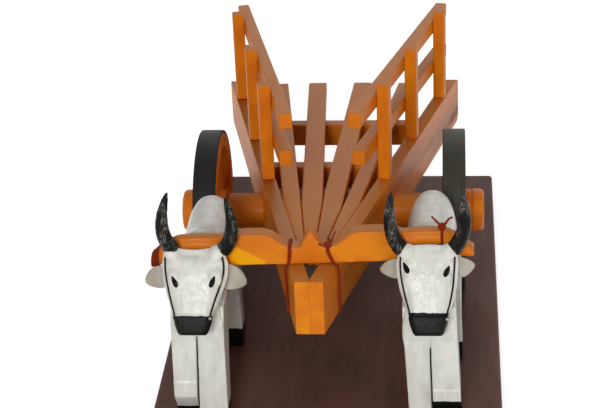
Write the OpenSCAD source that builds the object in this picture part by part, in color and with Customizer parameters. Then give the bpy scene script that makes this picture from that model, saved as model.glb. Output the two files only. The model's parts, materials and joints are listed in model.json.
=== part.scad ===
// Wooden model of a bullock cart: two carved bullocks under one yoke, drawing a
// two-wheeled slatted cart, all standing on a base board.
// +Z is up, +X is to the right seen from the front, and the bullocks face -Y.
// The origin is the centre of the base board's underside.

/* [Base board] */
// Width of the base board
board_w = 148; // [140:1:220]
// Length of the base board
board_l = 266; // [250:1:360]
// Thickness of the base board
board_t = 12; // [6:0.5:25]
// How far the cart stands to the left of the board's middle
cart_offset = 4; // [0:0.5:8]
// Distance from the board's middle forward to the yoke's front face
yoke_ahead = 88; // [70:1:100]

/* [Shafts and deck] */
// Length of the cart from the shafts' front ends to their rear ends
shaft_l = 272; // [240:1:330]
// Width over the shafts' rear ends
rear_w = 121; // [90:1:130]
// Width over the shafts' front ends, where they meet
front_w = 11.5; // [9:0.5:16]
// Depth of each shaft board
shaft_h = 24; // [16:0.5:30]
// Thickness of each shaft board
shaft_t = 6.2; // [4:0.1:9]
// Height of the shafts' top edge above the base board under the yoke
shaft_z = 69; // [62:0.2:72]
// Fall of the shafts towards the rear, in degrees
shaft_fall = 6.3; // [3:0.1:8]
// Width of a deck slat
slat_w = 9.4; // [5:0.1:11]
// Thickness of a deck slat
slat_t = 4.5; // [2:0.1:7]
// Height of a cross bar under the slats
bar_h = 11; // [6:0.5:14]
// Thickness of a cross bar, front to back
bar_t = 8; // [4:0.5:14]

/* [Side fences] */
// Side of a square stake
stake_w = 5.7; // [3:0.1:6]
// Height of a stake above the shaft
stake_h = 47; // [30:0.5:60]
// Thickness of a rail, across the cart
rail_w = 5.8; // [3:0.1:7]
// Height of a rail
rail_h = 7.2; // [3:0.1:8]
// Height of the lower rail's middle above the shaft
rail_low = 19; // [10:0.5:24]
// How far the upper rail's middle lies below the stakes' tops
rail_drop = 8.2; // [4:0.2:12]

/* [Wheels and axle] */
// Outer diameter of a wheel over its tyre
wheel_d = 75; // [60:1:84]
// Width of a wheel's rim
wheel_w = 10.3; // [6:0.1:14]
// Distance between the middles of the two wheels
track = 116; // [112:1:124]
// How much nearer the middle the left wheel sits on its journal
left_in = 4.2; // [0:0.2:5]
// Thickness of the tyre band
tyre_t = 1.2; // [0.6:0.1:3]
// Depth of the wooden rim under the tyre
felloe_h = 7; // [4:0.2:10]
// Number of spokes
spokes = 8; // [6:1:12]
// Width of a spoke
spoke_w = 5.4; // [3:0.1:6]
// Diameter of a hub
hub_d = 19.4; // [16:0.2:26]
// How far a hub stands out beyond the rim
hub_out = 8.6; // [4:0.2:14]
// Diameter of the axle between the wheels
axle_d = 15.8; // [12:0.2:18]
// Diameter of the axle's journal inside a hub
journal_d = 9; // [6:0.2:10]
// Gap all round a journal in its hub
journal_gap = 0.05; // [0.02:0.01:0.1]
// Distance from the yoke's front face back to the axle
axle_back = 108.5; // [107:0.5:120]

/* [Yoke] */
// Length of the yoke
yoke_l = 132; // [124:1:138]
// Depth of the yoke, front to back
yoke_t = 8.6; // [7:0.2:12]
// Height of the yoke's middle peak above its underside
yoke_h = 14.2; // [12:0.2:18]
// Rise of the arches over the necks
arch_h = 6.5; // [4:0.2:9]

/* [Bullocks] */
// Distance between the middles of the two bullocks
team_w = 95; // [90:1:98]
// Width over a bullock's front legs
legs_w = 22.4; // [18:0.2:25]
// Width over a bullock's brow
brow_w = 25.6; // [20:0.2:28]
// Length of a horn's curve, base to tip, as a height above the brow
horn_h = 22; // [14:0.5:26]

/* [Hidden] */
$fn = 64;

// Frame of the cart: X from its middle, Y back from the yoke's front face,
// Z up from the base board's top.
cart_x = -cart_offset;
cart_y = -yoke_ahead;
LEFT = -1;
RIGHT = 1;

// Shafts: seen from above each is a straight board that runs out and back
shaft_front = -18.2;                          // front ends, ahead of the yoke's front face
shaft_rear = shaft_front + shaft_l;
splay = (rear_w - front_w) / 2 / shaft_l;     // run of the outer face per length
splay_deg = atan(splay);
shaft_tx = shaft_t / cos(splay_deg);          // board thickness measured along X
fall = tan(shaft_fall);
function outer_x(y) = front_w / 2 + splay * (y - shaft_front);
function inner_x(y) = outer_x(y) - shaft_tx;
function mid_x(y) = outer_x(y) - shaft_tx / 2;
function top_z(y) = shaft_z - fall * y;

// Deck slats, from the middle outwards: where the slat's centre line passes at
// deck_near and at deck_rear, as shares of the room between the shafts
deck_front = yoke_t + 0.4;
deck_near = 42;
deck_rear = shaft_rear - 6;
near_room = inner_x(deck_near);
rear_room = inner_x(deck_rear);
fan = (inner_x(deck_rear) - inner_x(deck_near)) / (deck_rear - deck_near);
apex_y = deck_near - near_room / fan;         // where the shafts' inner faces would meet
slat_near = [0.28, 0.80];
slat_rear = [0.225, 0.60];
slat_part = 0.55;                             // share of the wedge left to the middle slat
slat_gap = 0.1;
lean_left = 1.6;                              // how far the fan's rear leans to the left
bar_front_y = 128;
bar_rear_y = 190;

corner_r = 4;                                 // of a shaft's rear corners

// Fences
stake_y = [102, 157.5, 222];
rail_from = 70.5;
rail_step = 6;                                // the lower rail starts this much further back
rail_to = shaft_rear + 5;
rail_fall = 0.8;                              // of the lower rail, degrees more than the shafts
rail_high = stake_h - rail_drop;
fence_gap = 0.05;

// Wheels
wheel_r = wheel_d / 2;
board_gap = 0.3;                              // a wheel's clearance over the base board
axle_y = axle_back;
axle_z = wheel_r + board_gap;
rim_r = wheel_r - tyre_t;                     // outside of the wooden rim
felloe_in = rim_r - felloe_h;
hub_in = 1.2;                                 // hub's inner face beyond the rim's
end_gap = 0.4;                                // axle shoulder to hub
spoke_t = wheel_w * 0.55;

// Yoke
valley_x = 9.4;                               // lashing's place, from the middle
valley_w = 1.6;                               // from the lashing out to the valley's slope
peak_half = 4.6;                              // half width of the middle peak
plateau_x = 20;
neck_half = 10;                               // half width of a neck arch
valley_h = yoke_h - 6.6;
plateau_h = yoke_h - 0.8;
neck_top = yoke_h - 1.4;
yoke_end_top = 5.4;
yoke_end_low = 0.4;
yoke_skew = 1.8;                              // right end higher, in degrees
rope_r = 0.6;

// Bullocks: the place of each piece from the bullock's middle and the yoke's front
neck_z = shaft_z + arch_h - 0.4;              // top of the neck under the yoke
leg_w = legs_w / 2 - 0.25;                    // one front leg, seam between
hoof_h = 9;

module cart() { translate([cart_x, cart_y, board_t]) children(); }
module side(s) { if (s == LEFT) mirror([1, 0, 0]) children(); else children(); }

// ---- base board ----
module base_board() {
    color("#4a3530") translate([-board_w / 2, -board_l / 2, 0]) cube([board_w, board_l, board_t]);
}

// ---- shafts ----
// Side outline of a shaft: distance back against height, rear corners rounded
module shaft_outline() {
    y = shaft_rear - corner_r;
    polygon([[shaft_front, top_z(shaft_front)], [y, top_z(y)], [shaft_rear, top_z(y) - corner_r],
             [shaft_rear, top_z(y) - shaft_h + corner_r], [y, top_z(y) - shaft_h],
             [shaft_front, top_z(shaft_front) - shaft_h]]);
    for (z = [top_z(y) - corner_r, top_z(y) - shaft_h + corner_r]) translate([y, z]) circle(corner_r);
}
module shaft(s) {
    color("#d2701a") cart() side(s) difference() {
        intersection() {
            translate([outer_x(shaft_front), shaft_front, 0]) rotate([0, 0, -splay_deg])
                translate([-shaft_t, -shaft_t, -shaft_h]) cube([shaft_t, shaft_l * 1.2, shaft_z * 2]);
            rotate([90, 0, 90]) translate([0, 0, 0.02]) linear_extrude(board_w) shaft_outline();
        }
        translate([-1, axle_y, axle_z]) rotate([0, 90, 0]) cylinder(d = axle_d, h = track);
    }
}

// ---- deck ----
module deck_slat(i) {
    // slats 1 and 2 lie left of the middle, 3 and 4 right of it
    s = i < 3 ? LEFT : RIGHT;
    k = (i == 2 || i == 3) ? 0 : 1;
    x1 = slat_near[k] * near_room;
    x2 = slat_rear[k] * rear_room - s * lean_left;
    run = deck_rear - deck_near;
    lean = (x2 - x1) / run;
    turn = atan(lean);
    low = k == 0 ? 0 : slat_part * fan;       // the wedge's two edges, as X per length
    high = k == 0 ? slat_part * fan : fan;
    reach = deck_rear + 20;
    color("#a86a42") cart() side(s) intersection() {
        translate([x1, deck_near, 0]) rotate([0, 0, -turn])
            translate([-slat_w / 2, -deck_near, 0]) cube([slat_w, run + deck_near, shaft_z * 2]);
        linear_extrude(shaft_z * 2) polygon([
            [low * (deck_front - apex_y) + slat_gap, deck_front],
            [high * (deck_front - apex_y) - slat_gap, deck_front],
            [high * (reach - apex_y) - slat_gap, reach],
            [low * (reach - apex_y) + slat_gap, reach]]);
        rotate([90, 0, 90]) linear_extrude(board_w) polygon([
            [0, top_z(0)], [reach, top_z(reach)],
            [reach, top_z(reach) - slat_t], [0, top_z(0) - slat_t]]);
    }
}
module crossbar(y) {
    // cut off square against the two shafts, its top sloped to the slats
    z = top_z(y) - slat_t;
    color("#8a4a20") cart() intersection() {
        translate([0, y, z]) rotate([-shaft_fall, 0, 0])
            translate([-rear_w / 2, 0, -bar_h]) cube([rear_w, bar_t, bar_h]);
        linear_extrude(shaft_z * 2) polygon([
            [-inner_x(y - bar_h), y - bar_h], [inner_x(y - bar_h), y - bar_h],
            [inner_x(y + bar_h + bar_t), y + bar_h + bar_t],
            [-inner_x(y + bar_h + bar_t), y + bar_h + bar_t]]);
    }
}

// ---- fences ----
module stake(s, i) {
    y = stake_y[i - 1];
    color("#dc7e1e") cart() side(s) intersection() {
        translate([mid_x(y), y, 0]) rotate([0, 0, -splay_deg])
            translate([-stake_w / 2, -stake_w / 2, 0]) cube([stake_w, stake_w, top_z(y) + stake_h]);
        rotate([90, 0, 90]) linear_extrude(board_w) polygon([
            [y - 10, top_z(y - 10)], [y + 10, top_z(y + 10)], [y + 10, 200], [y - 10, 200]]);
    }
}
module rail(s, height) {
    // lies along the stakes' inner faces
    inset = (stake_w + rail_w) / 2 + fence_gap;
    start = height < stake_h / 2 ? rail_step : 0;
    back = rail_to - rail_from - start;
    fall_more = height < stake_h / 2 ? rail_fall : 0;
    color("#dc7e1e") cart() side(s)
        translate([mid_x(rail_from), rail_from, top_z(rail_from) + height])
            rotate([0, 0, -splay_deg]) rotate([-shaft_fall - fall_more, 0, 0])
                translate([-inset - rail_w / 2, start, -rail_h / 2]) cube([rail_w, back, rail_h]);
}

// ---- axle and wheels ----
function wheel_x(s) = track / 2 - (s == LEFT ? left_in : 0);
function shoulder_x(s) = wheel_x(s) - wheel_w / 2 - hub_in - end_gap;
function journal_x(s) = wheel_x(s) + wheel_w / 2 + hub_out - 1;
module axle() {
    color("#b8641c") cart() translate([0, axle_y, axle_z]) rotate([0, 90, 0]) union() {
        translate([0, 0, -shoulder_x(LEFT)])
            cylinder(d = axle_d, h = shoulder_x(LEFT) + shoulder_x(RIGHT));
        translate([0, 0, -journal_x(LEFT)])
            cylinder(d = journal_d, h = journal_x(LEFT) + journal_x(RIGHT));
    }
}
module wheel_place(s) {
    cart() side(s) translate([wheel_x(s), axle_y, axle_z]) rotate([0, 90, 0]) children();
}
module ring(outer, inner, w) {
    difference() {
        cylinder(r = outer, h = w, center = true);
        cylinder(r = inner, h = w + 1, center = true);
    }
}
module tyre(s) { color("#2a2a26") wheel_place(s) ring(wheel_r, rim_r, wheel_w); }
module felloe(s) { color("#7a3d18") wheel_place(s) ring(rim_r, felloe_in, wheel_w); }
module wheel_spokes(s) {
    color("#8a4a1c") wheel_place(s) for (k = [0:spokes - 1]) rotate([0, 0, k * 360 / spokes])
        intersection() {
            translate([0, -spoke_w / 2, -spoke_t / 2]) cube([rim_r, spoke_w, spoke_t]);
            ring(felloe_in, hub_d / 2, wheel_w);
        }
}
module hub(s) {
    color("#be6419") wheel_place(s) difference() {
        translate([0, 0, -wheel_w / 2 - hub_in])
            cylinder(d = hub_d, h = wheel_w + hub_in + hub_out);
        translate([0, 0, -wheel_w]) cylinder(d = journal_d + 2 * journal_gap, h = 3 * wheel_w);
    }
}

// ---- yoke ----
// Front outline of the yoke's right half, heights above the shafts' top
module yoke_outline() {
    half = yoke_l / 2;
    neck = team_w / 2;
    neck_r = (neck_half * neck_half + arch_h * arch_h) / (2 * arch_h);
    difference() {
        polygon([
            [-0.01, 0], [half - 1, yoke_end_low], [half, yoke_end_low + 1],
            [half, yoke_end_top - 1], [half - 1.5, yoke_end_top],
            [neck + neck_half + 1, neck_top - 1.5], [neck + neck_half - 3, neck_top],
            [neck - neck_half - 2, neck_top], [plateau_x + 8, plateau_h], [plateau_x, plateau_h],
            [plateau_x - 3.5, plateau_h - 1], [valley_x + valley_w, valley_h + 0.9],
            [valley_x, valley_h], [peak_half, valley_h - 0.5], [0.6, yoke_h - 0.4], [-0.01, yoke_h]]);
        translate([neck, arch_h - neck_r]) circle(neck_r, $fn = 96);
    }
}
module yoke() {
    // set level on the left shaft's top, so that the skew lifts it off the right one
    lift = outer_x(0) * tan(yoke_skew);
    color("#dd7a1a") cart() translate([0, 0, shaft_z + lift]) rotate([-shaft_fall, 0, 0])
        rotate([0, -yoke_skew, 0]) for (s = [LEFT, RIGHT]) side(s)
            translate([0, yoke_t, 0]) rotate([90, 0, 0]) linear_extrude(yoke_t) yoke_outline();
}

// ---- lashings ----
// A thread laid along a list of points
module thread(points, r) {
    for (k = [0:len(points) - 2]) hull() {
        translate(points[k]) sphere(r, $fn = 8);
        translate(points[k + 1]) sphere(r, $fn = 8);
    }
}
module lashing(s) {
    // over the yoke's valley, down both its faces, and under the shafts to the middle
    r = rope_r;
    clear = r + 0.05;
    top = shaft_z + valley_h + clear + (outer_x(0) + s * valley_x) * tan(yoke_skew);
    side_x = outer_x(yoke_t) + clear;
    low = top_z(yoke_t / 2) - shaft_h - clear - 0.7;
    x = valley_x;
    tilt = fall * yoke_t;
    color("#6e2410") cart() side(s) {
        thread([[x, -clear, top], [x, yoke_t + clear, top - tilt],
                [side_x + 0.6, yoke_t + clear, shaft_z - tilt - clear],
                [side_x, yoke_t / 2 + 1, low + 2],
                [side_x - 2, yoke_t / 2, low], [clear, yoke_t / 2, low]], r);
        thread([[x, -clear, top], [side_x, -clear, shaft_z - clear],
                [side_x, yoke_t / 2, low + 2]], r);
        if (s == RIGHT) translate([x - 1.5, -clear, top]) sphere(1.6, $fn = 12);
    }
}
module yoke_tie(s) {
    // across the yoke's top: loops at the right end carry a knot with two short tails
    r = rope_r;
    clear = r + 0.05;
    x = s == RIGHT ? team_w / 2 + 5.4 : yoke_l / 2 - 1.8;
    rise = (outer_x(0) + s * x) * tan(yoke_skew);
    low = s == RIGHT ? face_top[1] + 2 * clear : shaft_z + rise + yoke_end_low;
    high = shaft_z + rise + (s == RIGHT ? neck_top : yoke_end_top + 1.2);
    drop = fall * yoke_t;
    // the yoke's tilt moves its faces back as they rise
    function front_y(z) = (z - shaft_z - outer_x(0) * tan(yoke_skew)) * fall - clear;
    function back_y(z) = front_y(z) + yoke_t / cos(shaft_fall) + 2 * clear;
    over = high + clear;
    color("#8c3c14") cart() side(s) {
        thread([[x, front_y(low - clear), low - clear], [x, front_y(over), over],
                [x, back_y(over - drop), over - drop], [x, back_y(low - drop), low - drop]], r);
        if (s == RIGHT) {
            thread([[x + 4, 2, high + 5], [x, 2.5, high + 1.6], [x - 4, 3, high + 5]], r);
            translate([x, 2.4, high + 1.5]) sphere(1.4, $fn = 12);
        }
    }
}

// ---- bullocks ----
// Place of a bullock, and of the pieces on it: X outwards from its middle
module bullock(s) { cart() side(s) translate([team_w / 2, 0, 0]) children(); }
// A thin upright slice of the trunk: [y, half width, underside, top]
module slice(row) {
    hw = row[1];
    translate([0, row[0], 0]) rotate([90, 0, 0]) linear_extrude(0.2) hull() {
        translate([0, row[3] - hw]) circle(hw, $fn = 24);
        translate([-hw, row[2] + 2]) square([2 * hw, 1]);
        translate([-hw + 2, row[2]]) square([2 * hw - 4, 1]);
    }
}
trunk_rows = [[-5, 9.4, 34, 61], [0, 10.6, 30, neck_z - 1.5], [yoke_t + 1, 10.6, 29, neck_z - 2],
              [yoke_t + 9, 10.6, 29, neck_z + 2], [yoke_t + 18, 10.8, 29, neck_z - 4],
              [50, 10.8, 30, neck_z - 4.5], [61, 10.2, 33, neck_z - 3.5], [67, 7, 40, neck_z - 13]];
module trunk() {
    for (k = [0:len(trunk_rows) - 2]) hull() { slice(trunk_rows[k]); slice(trunk_rows[k + 1]); }
}
// Front legs: the inner one straight, the outer one bent at the knee
module front_legs() {
    seam = 0.25;
    front = -8.5;
    back = 5.5;
    knee_z = 13.5;
    rotate([90, 0, 90]) {
        translate([0, 0, -leg_w - seam]) linear_extrude(leg_w) polygon([
            [front + 3, 46], [front, 36], [front + 1, hoof_h], [front + 0.5, 0],
            [back - 1, 0], [back - 1, hoof_h], [back + 4, 36], [back + 4, 46]]);
        translate([0, 0, seam]) linear_extrude(leg_w) polygon([
            [front + 3, 46], [front, 36], [front - 1.5, knee_z + 2], [front - 0.5, knee_z],
            [front + 5, hoof_h], [front + 5, 0], [back + 3, 0], [back + 3, hoof_h],
            [back + 4, 36], [back + 4, 46]]);
        translate([0, 0, -leg_w - seam]) linear_extrude(legs_w) polygon([
            [front + 3.5, 52], [front, 42], [front, 36], [back + 4, 36], [back + 4, 52]]);
    }
}
// Hind legs: the outer one set forward, the inner one back
module hind_legs() {
    leg = leg_w - 1.5;
    hull() {
        translate([0.8, 38, 0]) cube([leg + 1, 10, hoof_h]);
        translate([0.8, 43, 34]) cube([leg, 18, 4]);
    }
    hull() {
        translate([-leg - 0.8, 49, 0]) cube([leg + 0.6, 10, hoof_h]);
        translate([-leg - 0.2, 46, 34]) cube([leg, 19, 4]);
    }
}
// Head: a shield-shaped face that slopes forward to the muzzle
face_top = [-5, 79.8];                      // [y, z] of the brow's front edge
face_low = [-23, 50.2];                     // [y, z] of the muzzle's front edge
module head_solid(grow = 0) {
    // rows: [half width, front, depth, underside, height], brow first
    rows = [[brow_w / 2 - 3, face_top[0], 5, face_top[1] - 4, 4],
            [brow_w / 2, face_top[0] + 1.5, 3.1, 66, 8],
            [brow_w * 0.42, face_top[0] - 8, 10, 66, 1],
            [brow_w * 0.36, face_top[0] - 13.5, 10, 58, 1],
            [brow_w * 0.28, face_low[0], 7.5, face_low[1] - 1.6, 3]];
    hull() for (row = rows)
        translate([-row[0] - grow, row[1], row[3] - grow])
            cube([2 * (row[0] + grow), row[2] + grow, row[4] + 2 * grow]);
}
module bullock_body(s) {
    color("#cfcabb") bullock(s) difference() {
        union() { trunk(); front_legs(); hind_legs(); }
        head_solid(0.02);
    }
}
module bullock_head(s) { color("#dcdad0") bullock(s) head_solid(); }
// Horns: each a tapering chain of rings on a curve that runs out, up and in again
horn_steps = 6;
horn_r = 2.8;
function horn_at(t) = [
    brow_w / 2 - 1.6 + 4 * sin(180 * pow(t, 0.7)) + 2.8 * t,
    face_top[0] + 2.4 + 3 * t,
    face_top[1] - 2.6 + (horn_h + 2.6) * t];
function horn_thick(t) = horn_r * (1 - 0.8 * t);
module horns(s) {
    color("#1c1c1a") bullock(s) for (h = [LEFT, RIGHT]) side(h)
        for (k = [0:horn_steps - 1]) hull() {
            translate(horn_at(k / horn_steps)) sphere(horn_thick(k / horn_steps), $fn = 12);
            translate(horn_at((k + 1) / horn_steps))
                sphere(horn_thick((k + 1) / horn_steps), $fn = 12);
        }
}
function ear_low(s) = s == LEFT ? 5 : 0.5;    // the left bullock's ears hang lower
ear_z = 69.5;                                 // an ear's root, before it is lowered
ear_root = 4.6;                               // height of an ear's root
ear_droop = 18;                               // degrees
module ears(s) {
    // the droop swings the root's lower corner inwards, so the root stands off by that;
    // a lower root comes nearer the middle, because the head narrows downwards
    root_x = brow_w / 2 + ear_root / 2 * sin(ear_droop) + 0.1 - 0.11 * ear_low(s);
    color("#c6bfae") bullock(s) for (h = [LEFT, RIGHT]) side(h)
        translate([root_x, face_top[0] + 1.9, ear_z - ear_low(s)]) rotate([0, ear_droop, 0]) hull() {
            translate([0, 0, -ear_root / 2]) cube([0.5, 1.6, ear_root]);
            translate([4, -0.2, -4.8]) cube([1.5, 2, 9.4]);
            translate([7.8, 0.2, -2.4]) cube([0.6, 1.2, 4]);
        }
}
module tail(s) {
    color("#b8b2a2") bullock(s) thread([[0, 65.5, neck_z - 9], [0, 68, neck_z - 15],
        [0, 68.3, 40], [0, 67.5, 26], [0, 67, 20]], 0.9);
}
// Thread from behind each horn, down the edges of the face, into the muzzle
module nose_rope(s) {
    r = 0.45;
    color("#1a1614") bullock(s) for (h = [LEFT, RIGHT]) side(h)
        thread([[brow_w / 2 + 0.2, face_top[0] + 1, 74.4], [brow_w / 2 + 0.5, face_top[0], 68],
                [brow_w * 0.39 + 0.8, face_top[0] - 12, 61],
                [brow_w * 0.32 + 0.7, face_low[0] + 0.6, 54.6]], r);
}

base_board();
shaft(LEFT);  // shaft_left
shaft(RIGHT);  // shaft_right
deck_slat(1);  // deck_slat_1
deck_slat(2);  // deck_slat_2
deck_slat(3);  // deck_slat_3
deck_slat(4);  // deck_slat_4
crossbar(bar_front_y);  // crossbar_front
crossbar(bar_rear_y);  // crossbar_rear
stake(LEFT, 1);  // stake_left_1
stake(LEFT, 2);  // stake_left_2
stake(LEFT, 3);  // stake_left_3
stake(RIGHT, 1);  // stake_right_1
stake(RIGHT, 2);  // stake_right_2
stake(RIGHT, 3);  // stake_right_3
rail(LEFT, rail_high);  // rail_left_top
rail(LEFT, rail_low);  // rail_left_bottom
rail(RIGHT, rail_high);  // rail_right_top
rail(RIGHT, rail_low);  // rail_right_bottom
axle();
yoke();
lashing(LEFT);  // lashing_left
lashing(RIGHT);  // lashing_right
yoke_tie(LEFT);  // yoke_tie_left
yoke_tie(RIGHT);  // yoke_tie_right
tyre(LEFT);  // wheel_left_tyre
felloe(LEFT);  // wheel_left_felloe
wheel_spokes(LEFT);  // wheel_left_spokes
hub(LEFT);  // wheel_left_hub
tyre(RIGHT);  // wheel_right_tyre
felloe(RIGHT);  // wheel_right_felloe
wheel_spokes(RIGHT);  // wheel_right_spokes
hub(RIGHT);  // wheel_right_hub
bullock_body(LEFT);  // bullock_left_body
bullock_head(LEFT);  // bullock_left_head
horns(LEFT);  // bullock_left_horns
ears(LEFT);  // bullock_left_ears
tail(LEFT);  // bullock_left_tail
nose_rope(LEFT);  // bullock_left_nose_rope
bullock_body(RIGHT);  // bullock_right_body
bullock_head(RIGHT);  // bullock_right_head
horns(RIGHT);  // bullock_right_horns
ears(RIGHT);  // bullock_right_ears
tail(RIGHT);  // bullock_right_tail
nose_rope(RIGHT);  // bullock_right_nose_rope
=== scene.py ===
"""Looks of a wooden bullock cart model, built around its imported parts."""

import json
import math

import bmesh
import bpy
import numpy as np
from mathutils import Matrix, Vector, noise
from mathutils.bvhtree import BVHTree


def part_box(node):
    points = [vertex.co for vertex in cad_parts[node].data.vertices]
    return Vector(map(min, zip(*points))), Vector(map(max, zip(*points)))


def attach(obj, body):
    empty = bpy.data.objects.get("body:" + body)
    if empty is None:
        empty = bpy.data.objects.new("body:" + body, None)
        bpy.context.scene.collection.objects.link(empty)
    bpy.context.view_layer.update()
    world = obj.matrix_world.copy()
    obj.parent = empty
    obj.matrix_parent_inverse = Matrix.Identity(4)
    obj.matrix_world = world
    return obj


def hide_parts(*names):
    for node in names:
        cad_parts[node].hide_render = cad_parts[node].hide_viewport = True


bl_info = {
    "name": "Wooden Bullock Cart",
    "version": (1, 0, 0),
    "blender": (4, 5, 0),
    "location": "View3D > Sidebar > Bullock Cart",
    "description": "Builds the looks of a lacquered wooden bullock cart model",
    "category": "Add Mesh",
}

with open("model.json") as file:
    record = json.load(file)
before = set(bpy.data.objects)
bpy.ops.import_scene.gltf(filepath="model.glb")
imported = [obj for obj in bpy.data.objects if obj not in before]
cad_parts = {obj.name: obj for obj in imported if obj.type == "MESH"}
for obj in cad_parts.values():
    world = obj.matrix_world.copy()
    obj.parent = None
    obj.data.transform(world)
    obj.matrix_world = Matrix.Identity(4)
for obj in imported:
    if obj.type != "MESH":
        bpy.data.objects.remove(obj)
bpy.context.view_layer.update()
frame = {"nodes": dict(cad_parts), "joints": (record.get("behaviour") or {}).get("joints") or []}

MM = 0.001
SIDES = (("left", -1), ("right", 1))
BOARD_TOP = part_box("base_board")[1].z
CART_X = (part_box("shaft_left")[0].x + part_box("shaft_right")[1].x) / 2
YOKE_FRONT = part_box("yoke")[0].y


def linear(hex_colour):
    """An sRGB hex colour as linear red, green, blue and alpha."""
    parts = [int(hex_colour[i : i + 2], 16) / 255 for i in (0, 2, 4)]
    return tuple(c / 12.92 if c <= 0.04045 else ((c + 0.055) / 1.055) ** 2.4 for c in parts) + (1.0,)


def colour_prop(name, hex_colour, description):
    """A colour that a user can change, its default written as sRGB hex."""
    return bpy.props.FloatVectorProperty(
        name=name, description=description, subtype="COLOR", size=4, min=0, max=1,
        default=linear(hex_colour))


def length_prop(name, millimetres, description):
    """A length that a user can change, its default written in millimetres."""
    return bpy.props.FloatProperty(
        name=name, description=description, subtype="DISTANCE", unit="LENGTH",
        default=millimetres * MM, min=0, precision=5)


class CartSizes(bpy.types.PropertyGroup):
    """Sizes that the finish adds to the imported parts."""

    timber_edge: length_prop("Timber edge", 0.75, "Radius sanded on the edges of the cart's timbers")
    board_edge: length_prop("Board edge", 1.6, "Radius on the edges of the base board")
    wheel_edge: length_prop("Wheel edge", 0.9, "Radius on the wheels' corners")
    carving: length_prop("Carving grain", 0.5, "Size of the smallest facet kept on the bullocks' bodies")
    fine_carving: length_prop("Fine carving", 0.34, "Size of the smallest facet kept on the bullocks' heads")
    lashing: length_prop("Lashing thread", 1.15, "Diameter of the thread that binds the yoke")
    nose_rope: length_prop("Nose rope", 0.75, "Diameter of the bullocks' nose ropes")
    horn: length_prop("Horn base", 6.5, "Diameter of a horn at its base")
    hoof: length_prop("Hoof height", 9.3, "Height of the black paint on the hind hooves")
    front_hoof: length_prop("Front hoof height", 4, "Height of the black paint on the inner front hooves")
    muzzle: length_prop("Muzzle length", 8.2, "Length of the black paint on the muzzles, along the face")


class CartColours(bpy.types.PropertyGroup):
    """Colours of the finishes."""

    lacquer: colour_prop("Lacquer", "CC6E14", "Orange lacquer where it lies thin")
    lacquer_gold: colour_prop("Gold lacquer", "E49A00", "Orange lacquer over the palest wood")
    lacquer_deep: colour_prop("Deep lacquer", "8E3F10", "Orange lacquer along the grain lines")
    # colour of the painted sheen: lacquer painted paler and duller where it faces up
    painted_sheen: colour_prop("Sheened lacquer", "B66E2A", "Lacquer dulled by dust where it faces up")
    stain: colour_prop("Board stain", "5C3E35", "Dark brown stain of the base board")
    stain_deep: colour_prop("Deep stain", "33211C", "Stain where the board's grain drinks it in")
    # the two tyres' blacks differ as painted light: the right painted paler as a painted reflection, the
    # left darker as painted shade
    tyre_right: colour_prop("Right tyre", "3A382E", "Worn black paint of the right tyre")
    tyre_left: colour_prop("Left tyre", "161513", "Fresher black paint of the left tyre")
    tyre_deep: colour_prop("Deep tyre paint", "121110", "Tyre paint where it lies thick")
    white: colour_prop("White enamel", "D8D8D0", "White enamel of the bullocks")
    # cream stands for thin enamel and for the painted shade in the cuts and ears
    cream: colour_prop("Thin enamel", "9C9586", "Enamel where it is thin, and the painted shade in cuts and ears")
    black: colour_prop("Black enamel", "0B0B0A", "Black enamel of horns, hooves and muzzles")
    thread: colour_prop("Lashing", "7C2409", "Red-brown lashing thread")
    rope: colour_prop("Nose rope", "17130F", "Black nose rope")


# ---- material helpers ----

def wire(tree, node, inputs):
    """Gives each of a node's inputs a value or a link."""
    for key, value in inputs.items():
        if isinstance(value, bpy.types.NodeSocket):
            tree.links.new(value, node.inputs[key])
        else:
            node.inputs[key].default_value = value


def add(tree, kind, inputs=(), **settings):
    """Adds a node with its settings, its inputs' values and links."""
    made = tree.nodes.new(kind)
    for name, value in settings.items():
        setattr(made, name, value)
    wire(tree, made, dict(inputs))
    return made


def new_material(name):
    """An empty node material and its shader, wired to the output."""
    material = bpy.data.materials.new(name)
    material.use_nodes = True
    tree = material.node_tree
    tree.nodes.clear()
    shader = add(tree, "ShaderNodeBsdfPrincipled")
    add(tree, "ShaderNodeOutputMaterial", {"Surface": shader.outputs["BSDF"]})
    return material, tree, shader


def per_mm(*sizes):
    """Scale for a pattern whose repeat is the given millimetres on each axis."""
    return tuple(1 / (size * MM) for size in sizes)


GRAIN_ALONG = 45    # length of a grain streak, mm
GRAIN_ACROSS = 1.1  # spacing of grain lines, mm


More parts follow.
